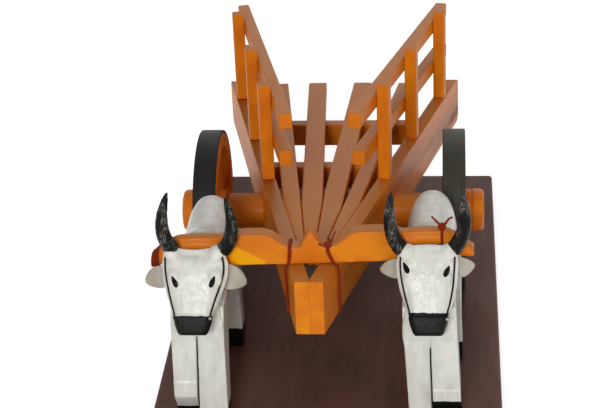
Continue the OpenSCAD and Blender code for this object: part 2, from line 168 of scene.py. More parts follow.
def lacquered_wood(name, sheen_share):
    """Pale wood under hand-brushed clear orange lacquer.

    The grain shows as fine darker streaks, the lacquer pools into gold and deep
    patches a centimetre or two across, and a trace of clear coat leaves a low shine.
    What faces up is painted a paler brown by the share given, a painted sheen.
    """
    colours = bpy.context.scene.cart_colours
    material, tree, shader = new_material(name)
    grain = add(tree, "ShaderNodeAttribute", attribute_name="grain").outputs["Vector"]
    streak_at = add(tree, "ShaderNodeVectorMath",
                    {0: grain, 1: per_mm(GRAIN_ALONG, GRAIN_ACROSS, GRAIN_ACROSS)},
                    operation="MULTIPLY").outputs[0]
    streak = add(tree, "ShaderNodeTexNoise",
                 {"Vector": streak_at, "Scale": 1.0, "Detail": 5.0, "Roughness": 0.62}).outputs[0]
    pool_at = add(tree, "ShaderNodeVectorMath", {0: grain, 1: per_mm(26, 11, 11)},
                  operation="MULTIPLY").outputs[0]
    pool = add(tree, "ShaderNodeTexNoise",
               {"Vector": pool_at, "Scale": 1.0, "Detail": 2.0, "Roughness": 0.45}).outputs[0]
    gilt = add(tree, "ShaderNodeAttribute", attribute_name="gilt").outputs["Fac"]
    pooled = add(tree, "ShaderNodeMapRange",
                 {"Value": pool, "From Min": 0.5, "From Max": 0.78, "To Max": 0.5}).outputs[0]
    gold = add(tree, "ShaderNodeMath", {0: pooled, 1: gilt}, operation="MAXIMUM").outputs[0]
    deep = add(tree, "ShaderNodeMapRange",
               {"Value": streak, "From Min": 0.5, "From Max": 0.8, "To Max": 0.22}).outputs[0]
    body = add(tree, "ShaderNodeMix", {0: gold, 6: colours.lacquer, 7: colours.lacquer_gold},
               data_type="RGBA").outputs[2]
    tinted = add(tree, "ShaderNodeMix", {0: deep, 6: body, 7: colours.lacquer_deep},
                 data_type="RGBA").outputs[2]
    brush_at = add(tree, "ShaderNodeVectorMath", {0: grain, 1: per_mm(30, 0.9, 0.9)},
                   operation="MULTIPLY").outputs[0]
    brush = add(tree, "ShaderNodeTexNoise",
                {"Vector": brush_at, "Scale": 1.0, "Detail": 3.0}).outputs[0]
    ripple_at = add(tree, "ShaderNodeVectorMath", {0: grain, 1: per_mm(7, 4, 4)},
                    operation="MULTIPLY").outputs[0]
    ripple = add(tree, "ShaderNodeTexNoise",
                 {"Vector": ripple_at, "Scale": 1.0, "Detail": 1.0}).outputs[0]
    height = add(tree, "ShaderNodeMath", {0: ripple, 1: 2.5, 2: brush},
                 operation="MULTIPLY_ADD").outputs[0]
    bump = add(tree, "ShaderNodeBump",
               {"Height": height, "Strength": 0.35, "Distance": 0.12 * MM}).outputs[0]
    # painted sheen: what faces up is painted a paler, duller brown
    facing = add(tree, "ShaderNodeTexCoord").outputs["Normal"]
    height_of = add(tree, "ShaderNodeSeparateXYZ", {0: facing}).outputs["Z"]
    sheen_mask = add(tree, "ShaderNodeMapRange",
                  {"Value": height_of, "From Min": 0.5, "From Max": 0.92, "To Max": sheen_share}).outputs[0]
    paled = add(tree, "ShaderNodeMix", {0: sheen_mask, 6: tinted, 7: colours.painted_sheen},
                 data_type="RGBA").outputs[2]
    rough = add(tree, "ShaderNodeMapRange",
                {"Value": streak, "To Min": 0.36, "To Max": 0.52}).outputs[0]
    wire(tree, shader, {"Base Color": paled, "Normal": bump, "Roughness": rough,
                        "Specular IOR Level": 0.11, "Coat Weight": 0.03, "Coat Roughness": 0.15})
    return material


def deck_lacquer():
    """The lacquered wood of everything that stays still, with a painted sheen on its tops."""
    return shared("Lacquered pale wood", lacquered_wood, "Lacquered pale wood", 0.85)


def wheel_lacquer():
    """The lacquered wood of the wheels, with no painted sheen on their tops, which would turn with them."""
    return shared("Lacquered wheel wood", lacquered_wood, "Lacquered wheel wood", 0.0)


def stained_board():
    """Softwood board under dark walnut stain and one coat of satin varnish.

    Long grain bands a few millimetres wide show through the stain, with redder
    patches and fine pores between them.
    """
    colours = bpy.context.scene.cart_colours
    material, tree, shader = new_material("Walnut stained board")
    grain = add(tree, "ShaderNodeAttribute", attribute_name="grain").outputs["Vector"]
    warp = add(tree, "ShaderNodeTexNoise", {"Vector": grain, "Scale": 22.0, "Detail": 2.0}).outputs[1]
    bent = add(tree, "ShaderNodeVectorMath", {0: warp, 1: (0.004, 0.004, 0.004), 2: grain},
               operation="MULTIPLY_ADD").outputs[0]
    bands_at = add(tree, "ShaderNodeVectorMath", {0: bent, 1: per_mm(42, 5.5, 5.5)},
                   operation="MULTIPLY").outputs[0]
    bands = add(tree, "ShaderNodeTexNoise",
                {"Vector": bands_at, "Scale": 1.0, "Detail": 6.0, "Roughness": 0.6}).outputs[0]
    patch = add(tree, "ShaderNodeTexNoise", {"Vector": grain, "Scale": 38.0, "Detail": 3.0}).outputs[0]
    deep = add(tree, "ShaderNodeMapRange",
               {"Value": bands, "From Min": 0.4, "From Max": 0.72, "To Max": 0.6}).outputs[0]
    red = add(tree, "ShaderNodeMapRange",
              {"Value": patch, "From Min": 0.42, "From Max": 0.66, "To Max": 0.8}).outputs[0]
    stained = add(tree, "ShaderNodeMix", {0: deep, 6: colours.stain, 7: colours.stain_deep},
                  data_type="RGBA").outputs[2]
    warm = add(tree, "ShaderNodeMix", {0: red, 6: stained, 7: linear("5E3B34")},
               data_type="RGBA").outputs[2]
    pores_at = add(tree, "ShaderNodeVectorMath", {0: grain, 1: per_mm(5, 0.45, 0.45)},
                   operation="MULTIPLY").outputs[0]
    pores = add(tree, "ShaderNodeTexNoise", {"Vector": pores_at, "Scale": 1.0, "Detail": 3.0}).outputs[0]
    height = add(tree, "ShaderNodeMath", {0: bands, 1: 1.5, 2: pores}, operation="MULTIPLY_ADD").outputs[0]
    bump = add(tree, "ShaderNodeBump",
               {"Height": height, "Strength": 0.3, "Distance": 0.12 * MM}).outputs[0]
    rough = add(tree, "ShaderNodeMapRange", {"Value": patch, "To Min": 0.36, "To Max": 0.58}).outputs[0]
    wire(tree, shader, {"Base Color": warm, "Normal": bump, "Roughness": rough,
                        "Specular IOR Level": 0.1})
    return material


def tyre_paint(name, side_black):
    """Thin black paint brushed round the wheel's tread.

    Brush lines run round the tread, and the brown wood shows through where it is worn.
    """
    colours = bpy.context.scene.cart_colours
    material, tree, shader = new_material(name)
    grain = add(tree, "ShaderNodeAttribute", attribute_name="grain").outputs["Vector"]
    lines_at = add(tree, "ShaderNodeVectorMath", {0: grain, 1: per_mm(14, 0.9, 0.9)},
                   operation="MULTIPLY").outputs[0]
    lines = add(tree, "ShaderNodeTexNoise",
                {"Vector": lines_at, "Scale": 1.0, "Detail": 4.0}).outputs[0]
    worn = add(tree, "ShaderNodeTexNoise",
               {"Vector": grain, "Scale": 260.0, "Detail": 4.0, "Roughness": 0.65}).outputs[0]
    bare = add(tree, "ShaderNodeMapRange",
               {"Value": worn, "From Min": 0.6, "From Max": 0.74, "To Max": 0.4}).outputs[0]
    shade = add(tree, "ShaderNodeMapRange",
                {"Value": lines, "From Min": 0.3, "From Max": 0.7, "To Max": 0.5}).outputs[0]
    # the side's black: paler on the right tyre as a painted reflection, darker on the left as painted shade
    paint = add(tree, "ShaderNodeMix", {0: shade, 6: side_black, 7: colours.tyre_deep},
                data_type="RGBA").outputs[2]
    faded = add(tree, "ShaderNodeMix", {0: bare, 6: paint, 7: linear("4A3A2A")},
                data_type="RGBA").outputs[2]
    bump = add(tree, "ShaderNodeBump",
               {"Height": lines, "Strength": 0.4, "Distance": 0.15 * MM}).outputs[0]
    wire(tree, shader, {"Base Color": faded, "Normal": bump, "Roughness": 0.5,
                        "Specular IOR Level": 0.15})
    return material


def painted_bullock(name, black_from, black_towards):
    """Carved softwood under white enamel, with one end dipped in black enamel.

    Enamel lies in thick vertical brush strokes that catch the light. Long white and cream streaks are partly
    thin enamel and partly painted highlight streaks; the cuts are painted creamy as painted shade, and the
    black ends at a slightly uneven hand-painted line.
    """
    colours = bpy.context.scene.cart_colours
    material, tree, shader = new_material(name)
    place = add(tree, "ShaderNodeTexCoord").outputs["Object"]
    # painted shade: cuts and hollows are painted towards cream, deeper cuts more
    recess = add(tree, "ShaderNodeAttribute", attribute_name="recess").outputs["Fac"]
    stroke_at = add(tree, "ShaderNodeVectorMath", {0: place, 1: per_mm(1.3, 1.3, 13)},
                    operation="MULTIPLY").outputs[0]
    stroke = add(tree, "ShaderNodeTexNoise",
                 {"Vector": stroke_at, "Scale": 1.0, "Detail": 3.0, "Roughness": 0.5}).outputs[0]
    cloud_at = add(tree, "ShaderNodeVectorMath", {0: place, 1: per_mm(3.4, 3.4, 11)},
                   operation="MULTIPLY").outputs[0]
    cloud = add(tree, "ShaderNodeTexNoise", {"Vector": cloud_at, "Scale": 1.0, "Detail": 4.0,
                                             "Roughness": 0.6}).outputs[0]
    # vertical white and cream streaks: partly thin enamel, partly painted highlight streaks
    thin = add(tree, "ShaderNodeMapRange",
               {"Value": cloud, "From Min": 0.38, "From Max": 0.68, "To Max": 0.3}).outputs[0]
    # painted shade in the cuts added to the cream streaks
    shade_and_streaks = add(tree, "ShaderNodeMath", {0: recess, 1: thin}, operation="ADD", use_clamp=True).outputs[0]
    white = add(tree, "ShaderNodeMix", {0: shade_and_streaks, 6: colours.white, 7: colours.cream},
                data_type="RGBA").outputs[2]
    wobble = add(tree, "ShaderNodeTexNoise", {"Vector": place, "Scale": 420.0, "Detail": 2.0}).outputs[0]
    off = add(tree, "ShaderNodeVectorMath", {0: place, 1: black_from}, operation="SUBTRACT").outputs[0]
    reach = add(tree, "ShaderNodeVectorMath", {0: off, 1: black_towards},
                operation="DOT_PRODUCT").outputs["Value"]
    line = add(tree, "ShaderNodeMath", {0: wobble, 1: 0.9 * MM, 2: reach},
               operation="MULTIPLY_ADD").outputs[0]
    dipped = add(tree, "ShaderNodeMapRange",
                 {"Value": line, "From Min": 0.40 * MM, "From Max": 0.55 * MM}).outputs[0]
    colour = add(tree, "ShaderNodeMix", {0: dipped, 6: white, 7: colours.black},
                 data_type="RGBA").outputs[2]
    lumps = add(tree, "ShaderNodeTexNoise", {"Vector": place, "Scale": 330.0, "Detail": 2.0}).outputs[0]
    height = add(tree, "ShaderNodeMath", {0: lumps, 1: 0.5, 2: stroke},
                 operation="MULTIPLY_ADD").outputs[0]
    bump = add(tree, "ShaderNodeBump",
               {"Height": height, "Strength": 0.6, "Distance": 0.3 * MM}).outputs[0]
    rough = add(tree, "ShaderNodeMapRange", {"Value": dipped, "To Min": 0.17, "To Max": 0.45}).outputs[0]
    wire(tree, shader, {"Base Color": colour, "Normal": bump, "Roughness": rough,
                        "Specular IOR Level": 0.11})
    return material


def horn_enamel():
    """Black enamel on a carved horn, dry-brushed with grey.

    Fine lengthwise scratches of grey catch on the carved ridges, partly dry-brushing
    and partly painted highlight streaks, and the enamel between them has a wet gloss.
    """
    colours = bpy.context.scene.cart_colours
    material, tree, shader = new_material("Black horn enamel")
    grain = add(tree, "ShaderNodeAttribute", attribute_name="grain").outputs["Vector"]
    scratch_at = add(tree, "ShaderNodeVectorMath", {0: grain, 1: per_mm(3.2, 0.35, 0.35)},
                     operation="MULTIPLY").outputs[0]
    scratch = add(tree, "ShaderNodeTexNoise",
                  {"Vector": scratch_at, "Scale": 1.0, "Detail": 4.0, "Roughness": 0.7}).outputs[0]
    rubbed_at = add(tree, "ShaderNodeVectorMath", {0: grain, 1: per_mm(9, 3.4, 3.4)},
                    operation="MULTIPLY").outputs[0]
    rubbed = add(tree, "ShaderNodeTexNoise",
                 {"Vector": rubbed_at, "Scale": 1.0, "Detail": 2.0}).outputs[0]
    shown = add(tree, "ShaderNodeMapRange",
                {"Value": rubbed, "From Min": 0.46, "From Max": 0.6}).outputs[0]
    # the grey streaks are partly dry-brushing and partly painted highlight streaks
    streaks = add(tree, "ShaderNodeMapRange",
                  {"Value": scratch, "From Min": 0.5, "From Max": 0.6, "To Max": 0.9}).outputs[0]
    grey = add(tree, "ShaderNodeMath", {0: shown, 1: streaks}, operation="MULTIPLY").outputs[0]
    colour = add(tree, "ShaderNodeMix", {0: grey, 6: colours.black, 7: linear("8F8B82")},
                 data_type="RGBA").outputs[2]
    bump = add(tree, "ShaderNodeBump",
               {"Height": scratch, "Strength": 0.9, "Distance": 0.4 * MM}).outputs[0]
    wire(tree, shader, {"Base Color": colour, "Normal": bump, "Roughness": 0.2,
                        "Specular IOR Level": 0.09})
    return material


def plain_enamel(name, colour):
    """Enamel dabbed on with a fine brush: glossy, with small soft lumps."""
    material, tree, shader = new_material(name)
    place = add(tree, "ShaderNodeTexCoord").outputs["Object"]
    lumps = add(tree, "ShaderNodeTexNoise", {"Vector": place, "Scale": 900.0, "Detail": 2.0}).outputs[0]
    tone = add(tree, "ShaderNodeMix",
               {0: lumps, 6: colour, 7: tuple(c * 0.6 for c in colour[:3]) + (1.0,)},
               data_type="RGBA").outputs[2]
    bump = add(tree, "ShaderNodeBump",
               {"Height": lumps, "Strength": 0.4, "Distance": 0.1 * MM}).outputs[0]
    wire(tree, shader, {"Base Color": tone, "Normal": bump, "Roughness": 0.35,
                        "Specular IOR Level": 0.08})
    return material


def twisted_thread(name, colour):
    """Twisted cotton thread, matt, with loose fibres between its strands."""
    material, tree, shader = new_material(name)
    place = add(tree, "ShaderNodeTexCoord").outputs["Object"]
    fibre = add(tree, "ShaderNodeTexNoise",
                {"Vector": place, "Scale": 2600.0, "Detail": 3.0, "Roughness": 0.7}).outputs[0]
    tone = add(tree, "ShaderNodeMix",
               {0: fibre, 6: tuple(c * 0.45 for c in colour[:3]) + (1.0,),
                7: tuple(min(1.0, c * 1.7) for c in colour[:3]) + (1.0,)},
               data_type="RGBA").outputs[2]
    bump = add(tree, "ShaderNodeBump",
               {"Height": fibre, "Strength": 0.6, "Distance": 0.1 * MM}).outputs[0]
    wire(tree, shader, {"Base Color": tone, "Normal": bump, "Roughness": 0.75,
                        "Specular IOR Level": 0.08, "Sheen Weight": 0.04})
    return material


def studio_white(name, lit):
    """Matt white paper: white to the camera and in reflections, plain to the lamps."""
    material, tree, shader = new_material(name)
    path = add(tree, "ShaderNodeLightPath")
    seen = add(tree, "ShaderNodeMath",
               {0: path.outputs["Is Camera Ray"], 1: path.outputs["Is Glossy Ray"]},
               operation="MAXIMUM").outputs[0]
    glow = add(tree, "ShaderNodeMath", {0: seen, 1: lit}, operation="MULTIPLY").outputs[0]
    wire(tree, shader, {"Emission Strength": glow, "Emission Color": (1, 1, 1, 1),
                        "Base Color": linear("F2F2F0"), "Roughness": 0.9, "Specular IOR Level": 0.1})
    return material


def shared(name, make, *values):
    """The material of that name, made the first time it is asked for."""
    return bpy.data.materials.get(name) or make(*values)


# ---- mesh helpers ----

def mesh_piece(name, points, faces):
    """A linked object with a mesh of these points and faces."""
    mesh = bpy.data.meshes.new(name)
    mesh.from_pydata([tuple(p) for p in points], [], faces)
    mesh.update()
    piece = bpy.data.objects.new(name, mesh)
    bpy.context.scene.collection.objects.link(piece)
    return piece


def apply_modifiers(piece):
    """Bakes the piece's modifiers into its mesh."""
    graph = bpy.context.evaluated_depsgraph_get()
    mesh = bpy.data.meshes.new_from_object(piece.evaluated_get(graph))
    piece.modifiers.clear()
    old, piece.data = piece.data, mesh
    bpy.data.meshes.remove(old)
    return piece


def points_of(piece):
    """The mesh's points as an array."""
    flat = np.empty(len(piece.data.vertices) * 3, dtype=np.float32)
    piece.data.vertices.foreach_get("co", flat)
    return flat.reshape(-1, 3).astype(float)


def normals_of(piece):
    """The mesh's point normals as an array."""
    flat = np.empty(len(piece.data.vertices) * 3, dtype=np.float32)
    piece.data.vertices.foreach_get("normal", flat)
    return flat.reshape(-1, 3)


def set_points(piece, points):
    """Moves the mesh's points."""
    piece.data.vertices.foreach_set("co", np.asarray(points, dtype=np.float32).ravel())
    piece.data.update()


def set_grain(piece, along, seed):
    """Stores how far each point lies along and across the grain."""
    along = Vector(along).normalized()
    side = along.orthogonal().normalized()
    axes = np.array([along, side, along.cross(side)])
    shift = np.array([0.37, 0.113, 0.171]) * seed
    values = points_of(piece) @ axes.T + shift
    store(piece, "grain", values)


def store(piece, name, values):
    """Stores a vector or a number on each point of the mesh."""
    kind = "FLOAT_VECTOR" if values.ndim == 2 else "FLOAT"
    attribute = piece.data.attributes.new(name, kind, "POINT")
    attribute.data.foreach_set("vector" if values.ndim == 2 else "value",
                               values.astype(np.float32).ravel())


def all_smooth(piece):
    """Shades every face smooth."""
    piece.data.polygons.foreach_set("use_smooth", [True] * len(piece.data.polygons))


def smooth_shade(piece, degrees):
    """Smooth shading, with edges over the angle kept sharp."""
    all_smooth(piece)
    piece.data.set_sharp_from_angle(angle=math.radians(degrees))


def face_outwards(piece, merge=None):
    """Turns every face outwards, after joining points nearer than merge."""
    shape = bmesh.new()
    shape.from_mesh(piece.data)
    if merge:
        bmesh.ops.remove_doubles(shape, verts=shape.verts, dist=merge)
    bmesh.ops.recalc_face_normals(shape, faces=shape.faces)
    shape.to_mesh(piece.data)
    shape.free()


def finish_piece(piece, material, body, nodes=()):
    """Gives a finished mesh its material and body, and hides the imported parts it stands for."""
    piece.data.materials.clear()
    piece.data.materials.append(material)
    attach(piece, body)
    if nodes:
        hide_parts(*nodes)
    return piece


def packed_shape(node):
    """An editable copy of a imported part, its coplanar triangles joined."""
    shape = bmesh.new()
    shape.from_mesh(frame["nodes"][node].data)
    bmesh.ops.remove_doubles(shape, verts=shape.verts, dist=0.004 * MM)
    bmesh.ops.dissolve_limit(shape, angle_limit=math.radians(1.5), verts=shape.verts, edges=shape.edges)
    return shape


SHARP_EDGE = math.radians(22)  # a timber's edges over this angle are rounded


def timber(name, node, edge, along, seed):
    """A sawn and sanded timber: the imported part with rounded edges."""
    shape = packed_shape(node)
    sharp = [e for e in shape.edges if len(e.link_faces) == 2 and e.calc_face_angle() > SHARP_EDGE]
    bmesh.ops.bevel(shape, geom=sharp, offset=edge, segments=3, profile=0.5, affect="EDGES",
                    clamp_overlap=True)
    piece = mesh_piece(name, [], [])
    shape.to_mesh(piece.data)
    shape.free()
    set_grain(piece, along, seed)
    smooth_shade(piece, 40)
    weighted = piece.modifiers.new("even faces", "WEIGHTED_NORMAL")
    weighted.keep_sharp = True
    apply_modifiers(piece)
    return piece


def sand(piece, passes):
    """Adds a smoothing of the whole skin, for apply_modifiers to apply."""
    sanded = piece.modifiers.new("sanded", "SMOOTH")
    sanded.factor = 0.5
    sanded.iterations = passes


def carve(piece, facet, passes):
    """Joins the piece's overlapping blocks into one skin and sands it."""
    skin = piece.modifiers.new("one skin", "REMESH")
    skin.mode = "VOXEL"
    skin.voxel_size = facet
    sand(piece, passes)
    apply_modifiers(piece)
    all_smooth(piece)
    return piece


def store_crease_shade(piece, full):
    """Stores how deep each point lies in a cut, from 0 on open faces to 1, as painted shade for the cuts."""
    points = points_of(piece)
    edges = np.empty(len(piece.data.edges) * 2, dtype=np.int32)
    piece.data.edges.foreach_get("vertices", edges)
    edges = edges.reshape(-1, 2)
    count = np.bincount(edges.ravel(), minlength=len(points)).clip(1)

    def around(values):
        total = np.zeros_like(values)
        np.add.at(total, edges[:, 0], values[edges[:, 1]])
        np.add.at(total, edges[:, 1], values[edges[:, 0]])
        return total / (count[:, None] if values.ndim == 2 else count)

    soft = points
    for _ in range(8):
        soft = around(soft)
    depth = ((soft - points) * normals_of(piece)).sum(1)
    for _ in range(3):
        depth = around(depth)
    # the depth of each cut is kept as painted shade for the enamel
    store(piece, "recess", np.clip(depth / full, 0, 1))


def join_shapes(name, shapes):
    """One object from several (points, faces) shapes."""
    points, faces = [], []
    for shape_points, shape_faces in shapes:
        start = len(points)
        points += [tuple(p) for p in shape_points]
        faces += [tuple(i + start for i in f) for f in shape_faces]
    return mesh_piece(name, points, faces)


def hull(points):
    """The convex block round some points, as (points, faces)."""
    shape = bmesh.new()
    for p in points:
        shape.verts.new(p)
    bmesh.ops.convex_hull(shape, input=shape.verts)
    bmesh.ops.delete(shape, geom=[v for v in shape.verts if not v.link_faces], context="VERTS")
    bmesh.ops.recalc_face_normals(shape, faces=shape.faces)
    shape.verts.index_update()
    found = ([v.co.copy() for v in shape.verts], [tuple(v.index for v in f.verts) for f in shape.faces])
    shape.free()
    return found


def loft(rings):
    """A closed skin through rings of equal point counts, as (points, faces)."""
    count = len(rings[0])
    points = [p for ring in rings for p in ring]
    faces = []
    for r in range(len(rings) - 1):
        for k in range(count):
            a, b = r * count + k, r * count + (k + 1) % count
            faces.append((a, b, b + count, a + count))
    faces.append(tuple(reversed(range(count))))
    last = (len(rings) - 1) * count
    faces.append(tuple(range(last, last + count)))
    return points, faces


def curve_through(controls, step):
    """Evenly spaced points on a smooth curve through the control points."""
    controls = [Vector(p) for p in controls]
    ends = [controls[0] * 2 - controls[1]] + controls + [controls[-1] * 2 - controls[-2]]
    found = []
    for i in range(1, len(ends) - 2):
        a, b, c, d = ends[i - 1 : i + 3]
        count = max(2, int((c - b).length / step))
        for k in range(count):
            t = k / count
            found.append(0.5 * (2 * b + (c - a) * t + (2 * a - 5 * b + 4 * c - d) * t ** 2
                                + (3 * b - a - 3 * c + d) * t ** 3))
    found.append(controls[-1])
    return found


def tube(path, radius_at, sides=12, lobes=0, pitch=1.0):
    """A tube along a path, as (points, faces); lobes twist round it like strands."""
    rings = []
    tangent = (path[1] - path[0]).normalized()
    side = tangent.orthogonal().normalized()
    run = 0.0
    for i, p in enumerate(path):
        ahead = path[min(i + 1, len(path) - 1)] - path[max(i - 1, 0)]
        turn = tangent.rotation_difference(ahead.normalized())
        side = (turn @ side).normalized()
        tangent = ahead.normalized()
        up = tangent.cross(side)
        if i:
            run += (p - path[i - 1]).length
        r = radius_at(i / (len(path) - 1))
        ring = []
        for k in range(sides):
            angle = 2 * math.pi * k / sides
            swell = 1.0
            if lobes:
                swell = 0.86 + 0.14 * abs(math.cos(lobes * (angle / 2 + math.pi * run / pitch)))
            ring.append(p + (side * math.cos(angle) + up * math.sin(angle)) * r * swell)
        rings.append(ring)
    return loft(rings)


def turned(centre, profile, segments=128):
    """The rings of a shape turned about X, from (along, radius) points."""
    rings = []
    for along, radius in profile:
        ring = []
        for k in range(segments):
            angle = 2 * math.pi * k / segments
            ring.append((centre.x + along, centre.y + radius * math.cos(angle),
                         centre.z + radius * math.sin(angle)))
        rings.append(ring)
    return rings


def ring_shape(centre, outline, segments=128):
    """A ring turned about X from a closed outline of (along, radius) points."""
    rings = turned(centre, outline, segments)
    points = [p for ring in rings for p in ring]
    faces = []
    total = len(rings)
    for r in range(total):
        n = (r + 1) % total
        for k in range(segments):
            j = (k + 1) % segments
            faces.append((r * segments + k, r * segments + j, n * segments + j, n * segments + k))
    return points, faces


def rounded_outline(x0, x1, r0, r1, corner, steps=4):
    """Outline of a ring's section with rounded corners, as (along, radius) points."""
    outline = []
    corners = [(x1, r1, 1, 1, 0), (x0, r1, -1, 1, 90), (x0, r0, -1, -1, 180), (x1, r0, 1, -1, 270)]
    for x, r, sx, sr, start in corners:
        for k in range(steps + 1):
            angle = math.radians(start + 90 * k / steps)
            outline.append((x - sx * corner + corner * math.cos(angle),
                            r - sr * corner + corner * math.sin(angle)))
    return outline


# ---- cart ----

class CART_OT_base_board(bpy.types.Operator):
    """Build the stained base board"""
    bl_idname = "cart.base_board"
    bl_label = "Base Board"

    def execute(self, context):
        sizes = context.scene.cart_sizes
        board = timber("Base_board", "base_board", sizes.board_edge, (0, 1, 0), 3)
        finish_piece(board, shared("Walnut stained board", stained_board), "stand",
                     ["base_board"])
        return {"FINISHED"}


def cart_timber(name, node, along, seed):
    """One lacquered timber of the cart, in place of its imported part."""
    edge = bpy.context.scene.cart_sizes.timber_edge
    piece = timber(name, node, edge, along, seed)
    wood = deck_lacquer()
    return finish_piece(piece, wood, "stand", [node])


def lie_of(node):
    """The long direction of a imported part, from front to back."""
    shape = packed_shape(node)
    points = np.array([v.co for v in shape.verts])
    shape.free()
    points -= points.mean(0)
    axis = np.linalg.svd(points, full_matrices=False)[2][0]
    return axis if axis[1] >= 0 else -axis


class CART_OT_shafts(bpy.types.Operator):
    """Build the two shaft boards that meet under the yoke"""
    bl_idname = "cart.shafts"
    bl_label = "Shafts"

    def execute(self, context):
        for seed, (side, _) in enumerate(SIDES):
            node = f"shaft_{side}"
            cart_timber(f"Shaft_{side}", node, lie_of(node), 11 + seed)
        return {"FINISHED"}


class CART_OT_deck(bpy.types.Operator):
    """Build the fanned deck slats and the cross bars under them"""
    bl_idname = "cart.deck"
    bl_label = "Deck"

    def execute(self, context):
        for k in range(1, 5):
            node = f"deck_slat_{k}"
            cart_timber(f"Deck_slat_{k}", node, lie_of(node), 20 + k)
        for seed, place in enumerate(("front", "rear")):
            cart_timber(f"Crossbar_{place}", f"crossbar_{place}", (1, 0, 0), 30 + seed)
        return {"FINISHED"}


class CART_OT_fences(bpy.types.Operator):
    """Build the stakes and rails of the side fences"""
    bl_idname = "cart.fences"
    bl_label = "Fences"

    def execute(self, context):
        for s, (side, _) in enumerate(SIDES):
            for k in range(1, 4):
                cart_timber(f"Stake_{side}_{k}", f"stake_{side}_{k}", (0, 0, 1), 40 + 10 * s + k)
            for k, level in enumerate(("top", "bottom")):
                node = f"rail_{side}_{level}"
                cart_timber(f"Rail_{side}_{level}", node, lie_of(node), 60 + 10 * s + k)
        return {"FINISHED"}


JOURNAL = 4.5 * MM  # radius of the axle's ends
BORE = 4.55 * MM  # radius of the hubs' holes
SHOULDER_GAP = 0.4 * MM  # from the axle's shoulders to the hubs
SPOKES = 8
SPOKE_HALF_W = 2.7 * MM
SPOKE_SUNK = 0.3 * MM  # how far a spoke's ends go into the hub and the felloe


class CART_OT_axle(bpy.types.Operator):
    """Build the turned axle"""
    bl_idname = "cart.axle"
    bl_label = "Axle"

    def execute(self, context):
        low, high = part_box("axle")
        centre = (low + high) / 2
        radius = (high.z - low.z) / 2
        hubs = [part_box(f"wheel_{side}_hub") for side, _ in SIDES]
        left = hubs[0][1].x + SHOULDER_GAP - centre.x
        right = hubs[1][0].x - SHOULDER_GAP - centre.x
        round_off = 0.7 * MM
        end = (high.x - low.x) / 2
        profile = [(-end, JOURNAL - round_off), (-end + round_off, JOURNAL), (left, JOURNAL),
                   (left, radius - round_off), (left + round_off, radius),
                   (right - round_off, radius), (right, radius - round_off), (right, JOURNAL),
                   (end - round_off, JOURNAL), (end, JOURNAL - round_off)]
        axle = mesh_piece("Axle", *loft(turned(centre, profile, 96)))
        set_grain(axle, (1, 0, 0), 71)
        smooth_shade(axle, 40)
        wood = deck_lacquer()
        finish_piece(axle, wood, "stand", ["axle"])
        return {"FINISHED"}


def spoke_shape(centre, angle, r0, r1, half_w, half_t):
    """One spoke, waisted and chamfered, from the hub out to the rim."""
    rings = []
    steps = 10
    for k in range(steps + 1):
        t = k / steps
        waist = 1 - 0.16 * math.sin(math.pi * t)
        w, h = half_w * waist, half_t * waist
        c = 0.35 * min(w, h)
        r = r0 + (r1 - r0) * t
        section = [(w - c, h), (-w + c, h), (-w, h - c), (-w, -h + c), (-w + c, -h), (w - c, -h),
                   (w, -h + c), (w, h - c)]
        ring = []
        for across, along in section:
            y = r * math.cos(angle) - across * math.sin(angle)
            z = r * math.sin(angle) + across * math.cos(angle)
            ring.append((centre.x + along, centre.y + y, centre.z + z))
        rings.append(ring)
    return loft(rings)


